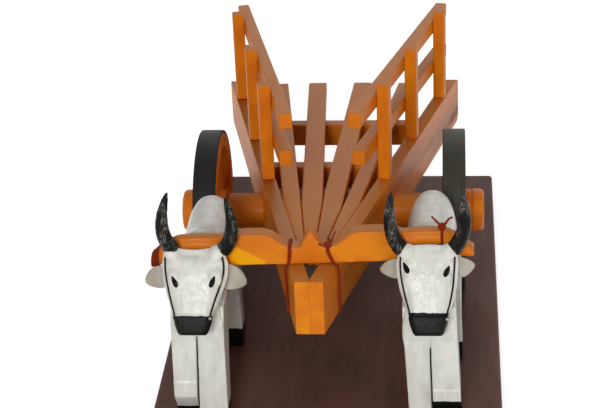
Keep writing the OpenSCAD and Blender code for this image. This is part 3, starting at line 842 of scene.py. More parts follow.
class CART_OT_wheels(bpy.types.Operator):
    """Build the tyre, felloe, spokes and hub of each wheel"""
    bl_idname = "cart.wheels"
    bl_label = "Wheels"

    def execute(self, context):
        edge = context.scene.cart_sizes.wheel_edge
        wood = wheel_lacquer()
        joints = {j["child"]: j for j in frame["joints"]}
        for side, sign in SIDES:
            body = f"wheel_{side}"
            centre = Vector(joints[body]["pos_m"])
            low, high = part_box(f"{body}_felloe")
            half = (high.x - low.x) / 2
            rim = (high.z - low.z) / 2
            tyre_low, tyre_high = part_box(f"{body}_tyre")
            outer = (tyre_high.z - tyre_low.z) / 2
            spokes_low, spokes_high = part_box(f"{body}_spokes")
            inner = (spokes_high.z - spokes_low.z) / 2
            hub_low, hub_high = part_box(f"{body}_hub")
            hub_r = (hub_high.z - hub_low.z) / 2

            outline = rounded_outline(-half, half, rim - 0.05 * MM, outer, 0.58 * (outer - rim))
            tread = mesh_piece(f"Tyre_{side}", *ring_shape(centre, outline, 160))
            self.round_grain(tread, centre, 80)
            smooth_shade(tread, 45)
            # each tyre gets its own black, paler on the right as a painted reflection, darker on the left as
            # painted shade
            colour = tuple(getattr(context.scene.cart_colours, f"tyre_{side}"))
            paint = tyre_paint(f"Brushed black tyre paint {side}", colour)
            finish_piece(tread, paint, body, [f"{body}_tyre"])

            outline = rounded_outline(-half, half, inner, rim, edge)
            felloe = mesh_piece(f"Felloe_{side}", *ring_shape(centre, outline, 160))
            self.round_grain(felloe, centre, 82)
            smooth_shade(felloe, 45)
            finish_piece(felloe, wood, body, [f"{body}_felloe"])

            half_t = (spokes_high.x - spokes_low.x) / 2
            shapes = [spoke_shape(centre, 2 * math.pi * k / SPOKES, hub_r - SPOKE_SUNK,
                                  inner + SPOKE_SUNK, SPOKE_HALF_W, half_t) for k in range(SPOKES)]
            spokes = join_shapes(f"Spokes_{side}", shapes)
            self.radial_grain(spokes, centre, 84)
            smooth_shade(spokes, 30)
            finish_piece(spokes, wood, body, [f"{body}_spokes"])

            x0, x1 = hub_low.x - centre.x, hub_high.x - centre.x
            outside = x1 if sign > 0 else x0
            inside = x0 if sign > 0 else x1
            reach = outside - inside
            neck = 0.35 * MM
            steps = [(0, BORE), (0, hub_r - 1.2 * MM), (0.05, hub_r - 0.35 * MM), (0.1, hub_r),
                     (0.66, hub_r), (0.68, hub_r - neck), (0.72, hub_r - neck), (0.74, hub_r),
                     (0.9, hub_r), (0.95, hub_r - 0.3 * MM), (0.985, hub_r - 0.9 * MM),
                     (1, hub_r - 1.9 * MM), (1, BORE)]
            outline = [(inside + reach * t, r) for t, r in steps]
            hub = mesh_piece(f"Hub_{side}", *ring_shape(centre, outline, 96))
            face_outwards(hub)
            set_grain(hub, (1, 0, 0), 86)
            smooth_shade(hub, 40)
            finish_piece(hub, wood, body, [f"{body}_hub"])
        return {"FINISHED"}

    def round_grain(self, piece, centre, seed):
        """Grain that follows the rim round."""
        points = points_of(piece) - np.array(centre)
        radius = np.hypot(points[:, 1], points[:, 2])
        angle = np.arctan2(points[:, 2], points[:, 1])
        mean = float(radius.mean())
        # cosine and sine in place of the angle keep the pattern whole where it wraps
        values = np.stack([np.cos(angle) * mean, points[:, 0], np.sin(angle) * mean * 0.05 + radius], 1)
        store(piece, "grain", values + 0.1 * seed)

    def radial_grain(self, piece, centre, seed):
        """Grain that runs out along each spoke."""
        points = points_of(piece) - np.array(centre)
        radius = np.hypot(points[:, 1], points[:, 2])
        angle = np.arctan2(points[:, 2], points[:, 1])
        values = np.stack([radius, points[:, 0], np.round(angle * 4 / math.pi) * 0.01], 1)
        store(piece, "grain", values + 0.1 * seed)


# gold patches painted on the yoke's front: from its middle, above a line
# GOLD_BASE over its underside, half width and half height in mm, and how strongly
GOLD_RUNS = ((-26, 2.4, 6.5, 3.6, 1.0), (13.5, 5.0, 3.2, 2.6, 0.3), (26, 7, 9, 3.5, 0.25))
GOLD_BASE = 1.5
NECK_FROM = 33 * MM  # the yoke is rounded off past this distance from its middle
NECK_FULL = 39 * MM


class CART_OT_yoke(bpy.types.Operator):
    """Build the carved yoke, rounded where it lies over the necks"""
    bl_idname = "cart.yoke"
    bl_label = "Yoke"

    def execute(self, context):
        shape = packed_shape("yoke")
        yoke = mesh_piece("Yoke", [], [])
        shape.to_mesh(yoke.data)
        shape.free()
        carve(yoke, 0.42 * MM, 6)
        points = points_of(yoke)
        across = np.abs(points[:, 0] - CART_X)
        weight = np.clip((across - NECK_FROM) / (NECK_FULL - NECK_FROM), 0, 1)
        for k in np.unique(np.round(across / MM)):
            here = np.round(across / MM) == k
            for sign in (-1, 1):
                pick = here & (np.sign(points[:, 0] - CART_X) == sign)
                if not pick.any() or weight[pick].max() <= 0:
                    continue
                section = points[pick][:, 1:]
                middle = (section.min(0) + section.max(0)) / 2
                half = (section.max(0) - section.min(0)) / 2
                unit = (section - middle) / half
                pull = np.abs(unit).max(1) / np.maximum(np.hypot(unit[:, 0], unit[:, 1]), 1e-6)
                pull = 1 + (pull - 1) * 0.85 * weight[pick]
                points[pick, 1:] = middle + unit * pull[:, None] * half
        set_points(yoke, points)
        sand(yoke, 5)
        apply_modifiers(yoke)
        all_smooth(yoke)
        set_grain(yoke, (1, 0, 0), 91)
        self.gild(yoke)
        wood = deck_lacquer()
        finish_piece(yoke, wood, "stand", ["yoke"])
        return {"FINISHED"}

    def gild(self, yoke):
        """Marks the gold patches painted on the front face."""
        points = points_of(yoke) / MM
        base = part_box("yoke")[0].z / MM + GOLD_BASE
        x, z = points[:, 0] - CART_X / MM, points[:, 2] - base
        front = points[:, 1] < YOKE_FRONT / MM + 3
        gilt = np.zeros(len(points))
        for at, height, wide, high, strength in GOLD_RUNS:
            reach = 1.25 - np.abs(x - at + (z - height) * 0.9) / wide - np.abs(z - height) / high * 0.6
            gilt = np.maximum(gilt, np.clip(reach * 4, 0, 1) * front * strength)
        store(yoke, "gilt", gilt)


def strand(path, diameter):
    """One length of three-ply twisted thread."""
    return tube(path, lambda t: diameter / 2, 12, lobes=3, pitch=3.2 * diameter)


def loose_ends(seat, runs, diameter, share, taper):
    """Thread ends that lead away from a knot and thin to their tips; runs are in mm."""
    shapes = []
    for run in runs:
        path = curve_through([seat] + [seat + Vector(p) * MM for p in run], 0.4 * MM)
        shapes.append(tube(path, lambda t: diameter / 2 * (share - taper * t), 10, 3, 3 * diameter))
    return shapes


def knot(centre, size):
    """A small overhand knot: three loops of thread wound over one another."""
    shapes = []
    for turn in range(3):
        tilt = (Matrix.Rotation(math.radians(60 * turn), 3, "Y")
                @ Matrix.Rotation(math.radians(25 * turn), 3, "X"))
        loop = []
        for k in range(25):
            angle = 2 * math.pi * k / 24
            loop.append(Vector(centre) + tilt @ Vector((math.cos(angle), 0.25 * math.sin(2 * angle),
                                                        0.8 * math.sin(angle))) * size * 0.62)
        shapes.append(tube(loop, lambda t: size * 0.36, 10))
    return shapes


def surface_at(tree, start, direction):
    """Where a straight line first meets a surface."""
    hit = tree.ray_cast(Vector(start), Vector(direction).normalized())[0]
    if hit is None:
        raise RuntimeError("a thread's place misses the wood it lies on")
    return hit


def tree_of(*names):
    """A search tree over the final meshes of some pieces."""
    points, faces = [], []
    for name in names:
        mesh = bpy.data.objects[name].data
        start = len(points)
        points += [v.co.copy() for v in mesh.vertices]
        faces += [tuple(i + start for i in p.vertices) for p in mesh.polygons]
    return BVHTree.FromPolygons(points, faces)


LASHING_X = {"left": 9.4 * MM, "right": 8.4 * MM}  # from the yoke's middle
LASHING_LEAN = {"left": 0.4 * MM, "right": 1.7 * MM}  # how much nearer it lies on the yoke's top


class CART_OT_lashings(bpy.types.Operator):
    """Build the threads that bind the yoke to the shafts, and the ties on the yoke"""
    bl_idname = "cart.lashings"
    bl_label = "Lashings"

    def execute(self, context):
        sizes = context.scene.cart_sizes
        colours = context.scene.cart_colours
        red = shared("Red-brown cotton thread", twisted_thread, "Red-brown cotton thread",
                     tuple(colours.thread))
        d = sizes.lashing
        r = d / 2
        yoke = tree_of("Yoke")
        for side, sign in SIDES:
            shaft = tree_of(f"Shaft_{side}")
            x = CART_X + sign * LASHING_X[side]
            low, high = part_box("yoke")
            top_x = x - sign * LASHING_LEAN[side]
            top = surface_at(yoke, (top_x, YOKE_FRONT + 5 * MM, high.z + 9 * MM), (0, 0, -1))
            front = surface_at(yoke, (x, YOKE_FRONT - 20 * MM, top.z - 4 * MM), (0, 1, 0))
            back = surface_at(yoke, (x, YOKE_FRONT + 40 * MM, top.z - 4 * MM), (0, -1, 0))
            under = surface_at(yoke, (x, YOKE_FRONT + 4.5 * MM, low.z - 20 * MM), (0, 0, 1))
            mid_y = (front.y + back.y) / 2
            shaft_out = surface_at(shaft, (CART_X + sign * 60 * MM, mid_y, under.z - 10 * MM), (-sign, 0, 0))
            shaft_low = surface_at(shaft, (shaft_out.x - sign * 3 * MM, mid_y, BOARD_TOP), (0, 0, 1))
            strands = []
            for turn in range(2):
                # the second turn lies behind the first, and only shows at the sides
                shift = turn * 0.35 * d
                out_x = shaft_out.x + sign * r * 0.9
                in_x = shaft_out.x - sign * 6.9 * MM
                controls = [
                    (top_x + shift, mid_y, top.z + r * 0.8),
                    (top_x + shift, front.y + 1.2 * MM, top.z + r * 0.4),
                    (top_x + shift, front.y - r * 0.7, top.z - 1.6 * MM),
                    (x + shift * 0.8, front.y - r * 0.7, under.z + 1.6 * MM),
                    (x * 0.5 + out_x * 0.5, front.y - r * 0.3, under.z - 0.4 * MM),
                    (out_x, front.y + 1.0 * MM, under.z - 3.4 * MM),
                    (out_x, mid_y - 0.5 * MM + shift, shaft_low.z + 2 * MM),
                    (out_x - sign * 0.9 * MM, mid_y + shift, shaft_low.z - r * 0.6),
                    (in_x + sign * 1.2 * MM, mid_y + shift, shaft_low.z - r * 0.6),
                    (in_x, mid_y + shift, shaft_low.z + 2 * MM),
                    (in_x + sign * 0.6 * MM, back.y - 1.5 * MM, under.z - 2.5 * MM),
                    (x + shift * 0.6, back.y + r * 0.7, under.z + 1.0 * MM),
                    (top_x + shift, back.y + r * 0.7, top.z - 1.8 * MM),
                    (top_x + shift, back.y - 1.2 * MM, top.z + r * 0.4),
                    (top_x + shift, mid_y, top.z + r * 0.8)]
                strands.append(strand(curve_through(controls, 0.45 * MM), d))
            if side == "right":
                seat = Vector((top_x, front.y + 0.6 * MM, top.z + 1.3 * MM))
                ends = [[(1.6, -0.6, 1.4), (2.4, 0.4, 3.8), (3.4, 1.2, 5.6)],
                        [(-1.8, -0.7, 0.2), (-3.6, -0.2, 0.4)]]
                strands += knot(seat, 1.7 * MM) + loose_ends(seat, ends, d, 0.9, 0.35)
            piece = join_shapes(f"Lashing_{side}", strands)
            smooth_shade(piece, 60)
            finish_piece(piece, red, "stand", [f"lashing_{side}"])
            self.tie(side, yoke, red, d)
        return {"FINISHED"}

    def tie(self, side, yoke, red, d):
        """The thread wound round one end of the yoke."""
        r = d / 2
        low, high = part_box(f"yoke_tie_{side}")
        x = (low.x + high.x) / 2
        turns = 1 if side == "right" else 3
        strands = []
        middle = self.section_middle(yoke, x)
        for turn in range(turns):
            shift = (turn - (turns - 1) / 2) * 0.95 * d
            loop = []
            count = 40
            for k in range(count + 1):
                angle = 2 * math.pi * k / count
                outward = Vector((0, -math.cos(angle), math.sin(angle)))
                start = Vector((x + shift, middle.y, middle.z)) + outward * 30 * MM
                hit = surface_at(yoke, start, -outward)
                loop.append(hit + outward * r * 0.75)
            strands.append(strand(loop, d))
        if side == "right":
            seat = surface_at(yoke, (x, middle.y - 1.5 * MM, high.z + 20 * MM), (0, 0, -1))
            seat = seat + Vector((0, 0, 1.5 * MM))
            ends = [[(-1.5, 0, 1.6), (-4.2, 0.6, 4.4)], [(1.5, 0, 1.4), (2.6, 0.4, 3.0), (4.4, 0.8, 3.9)]]
            strands += knot(seat, 1.8 * MM) + loose_ends(seat, ends, d, 1, 0.3)
        piece = join_shapes(f"Yoke_tie_{side}", strands)
        smooth_shade(piece, 60)
        finish_piece(piece, red, "stand", [f"yoke_tie_{side}"])

    def section_middle(self, yoke, x):
        """Middle of the yoke's section at x."""
        low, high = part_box("yoke")
        y = (low.y + high.y) / 2
        top = surface_at(yoke, (x, y, high.z + 9 * MM), (0, 0, -1))
        under = surface_at(yoke, (x, y, low.z - 9 * MM), (0, 0, 1))
        return Vector((x, y, (top.z + under.z) / 2))


# ---- bullocks ----

class Placer:
    """Turns a bullock's own millimetres into the frame's metres.

    x runs outwards from the bullock's middle, y back from the yoke, z up from the board.
    """

    def __init__(self, side, sign):
        low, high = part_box(f"bullock_{side}_body")
        self.sign = sign
        self.origin = Vector(((low.x + high.x) / 2, YOKE_FRONT, BOARD_TOP))

    def point(self, p):
        return self.origin + Vector((self.sign * p[0], p[1], p[2])) * MM

    def shape(self, shape):
        points, faces = shape
        if self.sign < 0:
            faces = [tuple(reversed(f)) for f in faces]
        return [self.point(p) for p in points], faces


# trunk sections: distance back, half width, underside, top, squareness
TRUNK = [(-5.0, 7.4, 38, 58, 2.6), (-4.0, 9.2, 34, 63, 2.8), (-1.0, 10.2, 31, 69.5, 2.8),
         (4.0, 10.5, 30, 71.5, 2.6), (9.0, 10.5, 29.5, 72.0, 2.4), (13.0, 10.4, 29, 74.6, 2.2),
         (17.0, 10.3, 29, 76.4, 2.1), (21.5, 10.4, 29, 75.0, 2.2), (27.0, 10.6, 29.3, 72.0, 2.4),
         (34.0, 10.9, 29.6, 70.6, 2.5), (45.0, 11.0, 30, 70.4, 2.4), (54.0, 10.8, 31, 71.4, 2.3),
         (60.0, 10.2, 33, 70.6, 2.2), (64.0, 8.6, 36, 67.0, 2.2), (66.6, 5.8, 42, 60.5, 2.2)]


CHEST_LOW = {"left": 39, "right": 34}  # where each chest ends and the seam between the legs begins
REAR_OUT = {"left": 0.0, "right": 2.2}  # how far each outer hind leg stands out past the front one
RUMP_RISE = {"left": 0, "right": 2.2}  # how much higher each rump is than these sections


def trunk_ring(y, half, low, top, square):
    """One rounded section of the trunk."""
    ring = []
    count = 40
    middle, tall = (low + top) / 2, (top - low) / 2
    for k in range(count):
        angle = 2 * math.pi * k / count
        c, s = math.cos(angle), math.sin(angle)
        x = half * math.copysign(abs(c) ** (2 / square), c)
        z = middle + tall * math.copysign(abs(s) ** (2 / square), s)
        ring.append((x, y, z))
    return ring


def box_points(x0, x1, y0, y1, z0, z1):
    """The eight corners of a block."""
    return [(x, y, z) for x in (x0, x1) for y in (y0, y1) for z in (z0, z1)]


# front legs, seen from the side: distance back against height. The inner leg is straight and
# the outer one is bent, with a knee facet and an underside that runs back to the hoof
LEG_TOP = 52
SEAM = 0.6
STRAIGHT_LEG = [(-4.6, LEG_TOP), (-8.3, 44), (-8.5, 36), (-7.9, 22), (-7.7, 10), (-8.1, 0),
                (4.6, 0), (4.2, 9), (6.4, 24), (9.5, 38), (9.5, LEG_TOP)]
BENT_LEG = [(-4.6, LEG_TOP), (-8.3, 44), (-8.5, 36), (-9.3, 24), (-9.5, 19.2), (-10.1, 18.4), (-10.3, 11.6),
            (-9.5, 10.2), (-4.4, 3.2), (-4.0, 0), (8.0, 0), (8.4, 9), (9.0, 24), (9.5, 38), (9.5, LEG_TOP)]
# each bullock's front feet: how far they stand out, how far the seam does, and the height of
# the black on the outer leg
LEG_SET = {"left": (0.5, 1.9, 3.6), "right": (2.6, 1.4, 10.0)}
KNEE_DROP = {"left": 0.0, "right": 3.6}  # how much lower the knee facet is carved


class CART_OT_bullock_bodies(bpy.types.Operator):
    """Build each bullock's carved trunk and legs"""
    bl_idname = "cart.bullock_bodies"
    bl_label = "Bullock Bodies"

    def execute(self, context):
        sizes = context.scene.cart_sizes
        hoof_line = BOARD_TOP + sizes.hoof
        enamel = painted_bullock("White enamel with black hooves", (0, 0, hoof_line), (0, 0, -1))
        for side, sign in SIDES:
            place = Placer(side, sign)
            node = f"bullock_{side}_body"
            rise, out, chest = RUMP_RISE[side], REAR_OUT[side], CHEST_LOW[side]
            rows = [(y, half, low, top + (rise if y > 40 else 0), square)
                    for y, half, low, top, square in TRUNK]
            trunk = [loft([[(x + out * 0.5 * max(0, y) / 60, y, z) for x, y, z in trunk_ring(*row)]
                           for row in rows]),
                     # chest, thighs and buttocks
                     hull(box_points(-10.2, 10.2, -7.6, 6, chest, chest + 0.5)
                          + box_points(-10.9, 10.9, -8.8, 6, chest + 6, 45)
                          + box_points(-8, 8, -4.5, 6, 50, 58)),
                     hull(box_points(1, 11.2 + out, 41, 60, 38, 52)
                          + box_points(1.4, 11.4 + out, 40, 51, 20, 24)),
                     hull(box_points(-11, -1, 45, 65, 38, 52) + box_points(-11, -1.4, 50, 61, 20, 24)),
                     # shanks: outer one forward, inner one back
                     hull(box_points(1.6, 11.2 + out, 41, 50, 22, 24)
                          + box_points(1.4 + out, 11.8 + out, 38.2, 48, 0, hoof_z())),
                     hull(box_points(-10.8, -1.6, 50.5, 60, 22, 24)
                          + box_points(-11.4, -1.4, 49, 59, 0, hoof_z()))]
            body = join_shapes(f"Bullock_{side}_trunk", [place.shape(s) for s in trunk])
            carve(body, sizes.carving, 7)
            store_crease_shade(body, 0.5 * MM)
            finish_piece(body, enamel, "stand", [node])
            over, seam, outer_hoof = LEG_SET[side]
            legs = (("straight", STRAIGHT_LEG, -11.0, -SEAM / 2, over, seam, sizes.front_hoof / MM),
                    ("bent", BENT_LEG, SEAM / 2, 11.0, seam, over, outer_hoof))
            for name, profile, x0, x1, shift0, shift1, hoof in legs:
                carved = [(y, z - KNEE_DROP[side] * (10 < z < 20)) for y, z in profile]
                shape = loft([[(x + shift * (1 - z / LEG_TOP), y, z) for y, z in carved]
                              for x, shift in ((x0, shift0), (x1, shift1))])
                leg = join_shapes(f"Bullock_{side}_{name}_leg", [place.shape(shape)])
                carve(leg, 0.42 * MM, 4)
                store_crease_shade(leg, 0.5 * MM)
                line = (0, 0, BOARD_TOP + hoof * MM)
                paint = painted_bullock(f"White enamel {side} {name} leg", line, (0, 0, -1))
                finish_piece(leg, paint, "stand", [node])
        return {"FINISHED"}


def hoof_z():
    """Height of a hoof, in the bullock's millimetres."""
    return bpy.context.scene.cart_sizes.hoof / MM


# The face is a flat shield that leans forward: distances run down it from the brow
FACE_TOP = (-5.0, 79.8)
FACE_LOW = (-23.0, 50.2)
FACE_LEN = math.dist(FACE_TOP, FACE_LOW)
DOWN = ((FACE_LOW[0] - FACE_TOP[0]) / FACE_LEN, (FACE_LOW[1] - FACE_TOP[1]) / FACE_LEN)
OUT = (DOWN[1], -DOWN[0])  # out of the face, forward and up

# head sections: down the face, flat half width, half width, its depth behind the face,
# back half width, back depth, and how far the face stands forward
HEAD = [(-0.6, 6.0, 8.2, 1.6, 7.6, 5.2, -1.6),
        (0.8, 7.0, 10.6, 1.8, 9.6, 6.6, -0.7),
        (3.2, 7.8, 12.4, 2.6, 10.8, 8.2, -0.25),
        (6.5, 7.8, 13.1, 3.6, 11.2, 9.8, 0.0),
        (11.0, 7.4, 12.8, 4.4, 11.0, 11.2, 0.15),
        (15.5, 7.0, 12.0, 4.8, 10.4, 12.2, 0.1),
        (20.0, 6.6, 10.8, 4.8, 9.2, 12.0, 0.05),
        (24.5, 6.2, 9.2, 4.2, 8.0, 10.4, 0.0),
        (27.4, 5.7, 7.8, 3.4, 6.8, 9.2, 0.0),
        (27.9, 6.2, 8.2, 3.2, 7.3, 9.4, 0.5),
        (31.2, 5.7, 7.5, 3.0, 6.8, 8.8, 0.4),
        (34.4, 4.6, 6.3, 2.8, 5.6, 7.6, -0.1),
        (35.4, 3.8, 5.4, 2.6, 4.8, 6.8, -1.0)]

# where each bullock's eyes lie on its face, for the inner and the outer one: out from the
# middle, and down from the brow
EYES = {"left": ((8.2, 13.9), (7.2, 13.9)), "right": ((9.0, 8.2), (7.4, 9.6))}
BROW_DROP = {"left": 1.9, "right": -0.9}  # how much lower each brow is in its middle
MUZZLE_MORE = {"left": 0.0, "right": 1.5}  # how much longer the black is than on the left


def head_point(x, down, out):
    """A point of the head, from its place on the face, in the bullock's millimetres."""
    y = FACE_TOP[0] + DOWN[0] * down + OUT[0] * out
    z = FACE_TOP[1] + DOWN[1] * down + OUT[1] * out
    return (x, y, z)


# how much wider the inner and the outer half of each head are beside the eyes
HEAD_MORE = {"left": (1.4, 0.0), "right": (0.0, -1.0)}


def head_ring(more, down, flat, half, depth, back, back_depth, forward):
    """One section of the head: a flat front with bevelled sides."""
    near = math.exp(-((down - 9) / 8) ** 2)
    right = [(0, forward + 0.12), (flat * 0.55, forward + 0.08), (flat, forward - 0.15),
             ((flat + half) / 2 + 0.25, forward - depth * 0.42), (half, -depth),
             ((half + back) / 2, -(depth + back_depth) / 2), (back, -back_depth + 1.0),
             (back * 0.6, -back_depth)]
    left = [(-x * (1 + more[0] * near / half), out) for x, out in reversed(right) if x > 0]
    right = [(x * (1 + more[1] * near / half), out) for x, out in right]
    return [head_point(x, down, out) for x, out in right + left]


def ball(centre, radius, squash=(1, 1, 1), rings=10, sides=16):
    """A ball or egg, as (points, faces)."""
    rows = []
    for r in range(1, rings):
        polar = math.pi * r / rings
        rows.append([(centre[0] + radius * squash[0] * math.sin(polar) * math.cos(2 * math.pi * k / sides),
                      centre[1] + radius * squash[1] * math.sin(polar) * math.sin(2 * math.pi * k / sides),
                      centre[2] + radius * squash[2] * math.cos(polar)) for k in range(sides)])
    return loft(rows)


class CART_OT_bullock_heads(bpy.types.Operator):
    """Build each bullock's carved head with its painted eyes and muzzle"""
    bl_idname = "cart.bullock_heads"
    bl_label = "Bullock Heads"

    def execute(self, context):
        sizes = context.scene.cart_sizes
        colours = context.scene.cart_colours
        black = shared("Black eye enamel", plain_enamel, "Black eye enamel", tuple(colours.black))
        for side, sign in SIDES:
            place = Placer(side, sign)
            muzzle_top = FACE_LEN + 1.2 - sizes.muzzle / MM - MUZZLE_MORE[side]
            start = place.point(head_point(0, muzzle_top, 0))
            towards = Vector((0, DOWN[0], DOWN[1]))
            enamel = painted_bullock(f"White enamel with black muzzle {side}", tuple(start), tuple(towards))
            more = HEAD_MORE[side]
            shapes = [loft([head_ring(more, *row) for row in HEAD])]
            for s in (-1, 1):
                # horn bosses at the brow's corners, and the cheek below each eye
                wider = more[s > 0]
                shapes.append(ball(head_point(s * (8.6 + wider * 0.5), 2.2, -3.0), 3.9, (1, 0.95, 1)))
                shapes.append(ball(head_point(s * (7.0 + wider), 12.5, -4.6), 4.6, (0.9, 1.1, 1.35)))
            head = join_shapes(f"Bullock_{side}_head_block", [place.shape(s) for s in shapes])
            carve(head, sizes.fine_carving, 5)
            self.scoop_brow(head, place, BROW_DROP[side])
            store_crease_shade(head, 0.28 * MM)
            finish_piece(head, enamel, "stand", [f"bullock_{side}_head"])
            tree = BVHTree.FromPolygons([v.co for v in head.data.vertices],
                                        [tuple(p.vertices) for p in head.data.polygons])
            for s in (-1, 1):
                self.eye(f"Bullock_{side}_eye_{'ab'[s > 0]}", place, tree, s, EYES[side][s > 0], black)
        return {"FINISHED"}

    def scoop_brow(self, head, place, drop):
        """Hollows the brow a little between the horns."""
        points = points_of(head)
        middle = np.array(place.point(head_point(0, 1.5, 0.4)))
        out = np.array([0, OUT[0], OUT[1]])
        spread = np.array([5.5, 3.2, 3.2]) * MM
        near = (((points - middle) / spread) ** 2).sum(1)
        points -= np.exp(-near)[:, None] * out * 1.1 * MM
        over = (((points - middle) / (np.array([8.0, 9.0, 3.4]) * MM)) ** 2).sum(1)
        points[:, 2] -= np.exp(-over) * drop * MM
        set_points(head, points)

    def eye(self, name, place, tree, s, at, material):
        """A slanting almond of black enamel laid on the face."""
        count, rings = 28, 4
        points, faces = [], []
        centre = (s * at[0], at[1])
        slant = math.radians(24)
        for ring in range(rings + 1):
            share = 1 - ring / rings
            for k in range(count):
                angle = 2 * math.pi * k / count
                along = 2.5 * math.sin(angle) * share
                across = 1.02 * math.cos(angle) * (1 - 0.35 * math.sin(angle)) * share
                x = centre[0] + s * (across * math.cos(slant) + along * math.sin(slant))
                down = centre[1] - along * math.cos(slant) + across * math.sin(slant)
                above = place.point(head_point(x, down, 6))
                inwards = place.point(head_point(x, down, -12)) - above
                hit = tree.ray_cast(above, inwards.normalized())[0]
                lift = 0.02 + 0.14 * math.sin(math.pi / 2 * (1 - share ** 3))
                points.append(hit - inwards.normalized() * lift * MM)
        for ring in range(rings):
            for k in range(count):
                j = (k + 1) % count
                a, b = ring * count + k, ring * count + j
                faces.append((a, b, b + count, a + count))
        piece = mesh_piece(name, points, faces)
        face_outwards(piece, merge=0.002 * MM)
        thick = piece.modifiers.new("paint thickness", "SOLIDIFY")
        thick.thickness = 0.25 * MM
        thick.offset = -1
        apply_modifiers(piece)
        smooth_shade(piece, 60)
        finish_piece(piece, material, "stand")


# horn's run: outwards and up from the brow, one row per point: x, y, z
HORN = [(9.5, -3.0, 76.4), (11.5, -2.8, 79.4), (13.3, -2.4, 83.0), (14.1, -1.8, 87.2),
        (14.0, -1.0, 91.4), (13.2, -0.1, 95.6), (12.0, 0.8, 99.6), (11.3, 1.2, 101.6)]


# each bullock's horns: how far both stand over to its outer side, how far their tips spread,
# and how much lower the inner horn's tip is
HORN_SET = {"left": (-1.8, 0.2, 2.4), "right": (-0.4, 3.0, 0.0)}


def horn_thickness(t):
    """Share of the base's thickness left at a share of the horn's run."""
    rooted = min(1.0, 0.5 + 10 * t)  # the root narrows, closed in the brow
    return max(0.06, rooted * (1 - 0.12 * t) * (1 - t ** 2.3) ** 0.62)


class CART_OT_bullock_horns(bpy.types.Operator):
    """Build the tapering black horns"""
    bl_idname = "cart.bullock_horns"
    bl_label = "Bullock Horns"

    def execute(self, context):
        base = context.scene.cart_sizes.horn / 2
        enamel = shared("Black horn enamel", horn_enamel)
        for side, sign in SIDES:
            place = Placer(side, sign)
            shapes, runs = [], []
            over, spread, drop = HORN_SET[side]
            root, tip = HORN[0][2], HORN[-1][2]
            for s in (-1, 1):
                controls = []
                for x, y, z in HORN:
                    t = (z - root) / (tip - root)
                    controls.append(place.point((s * (x + spread * t * t) + over, y,
                                                 z - (drop * t if s < 0 else 0))))
                path = curve_through(controls, 0.5 * MM)
                shapes.append(tube(path, lambda t: base * horn_thickness(t), 28))
                runs += [i * 0.5 for i in range(len(path)) for _ in range(28)]
            horns = join_shapes(f"Bullock_{side}_horn_pair", shapes)
            points = points_of(horns)
            normals = normals_of(horns)
            runs = np.array(runs)
            cuts = np.array([noise.noise(Vector(p) * 900) for p in points])
            rings = np.sin(runs * 2.6) * np.clip(1 - runs / 9, 0, 1)
            points += normals * (cuts * 0.16 + rings * 0.1)[:, None] * MM
            set_points(horns, points)
            store(horns, "grain", np.stack([runs * MM, points[:, 0], points[:, 1]], 1))
            smooth_shade(horns, 60)
            finish_piece(horns, enamel, "stand", [f"bullock_{side}_horns"])
        return {"FINISHED"}


# ear outline, from its root: outwards against height; a broad leaf
EAR = [(0, 4.4), (2.8, 4.6), (5.8, 3.2), (8.2, 0.6), (9.6, -2.6), (8.6, -4.2), (5.4, -4.9), (2.2, -5.0),
       (0, -4.2)]
# each bullock's inner and outer ear: how far it is turned down, in degrees, how much it is
# raised, how long and how broad it is as shares of that outline, and how far its root stands out
EAR_SET = {"left": ((4, 2.6, 1.06, 1.25, 11.0), (2, 2.4, 0.98, 1.1, 12.0)),
           "right": ((-12, 1.3, 0.9, 1.0, 10.8), (-34, 1.5, 0.82, 1.2, 10.0))}
# layers through an ear's thickness: share of the outline, and how far forward in mm
EAR_LAYERS = ((0.86, 0.95), (1.0, 0.4), (0.94, -0.35), (0.5, -0.1), (0.2, 0.1))
EAR_SHADE = 0.75  # painted shade in the ears: how far their enamel goes towards cream


class CART_OT_bullock_ears(bpy.types.Operator):
    """Build the leaf-shaped ears"""
    bl_idname = "cart.bullock_ears"
    bl_label = "Bullock Ears"

    def execute(self, context):
        enamel = bpy.data.materials["White enamel with black hooves"]
        for side, sign in SIDES:
            place = Placer(side, sign)
            low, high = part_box(f"bullock_{side}_ears")
            shapes = []
            for s in (-1, 1):
                turn, lift, length, broad, root_x = EAR_SET[side][s > 0]
                height = ((low.z + high.z) / 2 - BOARD_TOP) / MM + lift
                droop = Matrix.Rotation(math.radians(turn), 3, "Y")
                leaf = curve_through([(x * length, 0, z * broad) for x, z in EAR], 0.5)
                outline = [droop @ p for p in leaf]
                root = Vector((root_x, -2.6, height))
                rings = []
                for inset, depth in EAR_LAYERS:
                    ring = []
                    for p in outline:
                        x = p.x * inset + (1 - inset) * 3.6
                        z = p.z * inset + (1 - inset) * -0.8
                        cup = 0.05 * x * x - 0.02 * z * z
                        ring.append((s * (root.x + x), root.y - depth + cup * 0.5, root.z + z))
                    rings.append(ring)
                shape = loft(rings)
                if s > 0:
                    shape = (shape[0], [tuple(reversed(f)) for f in shape[1]])
                shapes.append(shape)
            ears = join_shapes(f"Bullock_{side}_ear_pair", [place.shape(s) for s in shapes])
            face_outwards(ears)
            carve(ears, 0.3 * MM, 3)
            # painted shade: the ears are painted a set share towards cream all over
            store(ears, "recess", np.full(len(ears.data.vertices), EAR_SHADE))
            finish_piece(ears, enamel, "stand", [f"bullock_{side}_ears"])
        return {"FINISHED"}


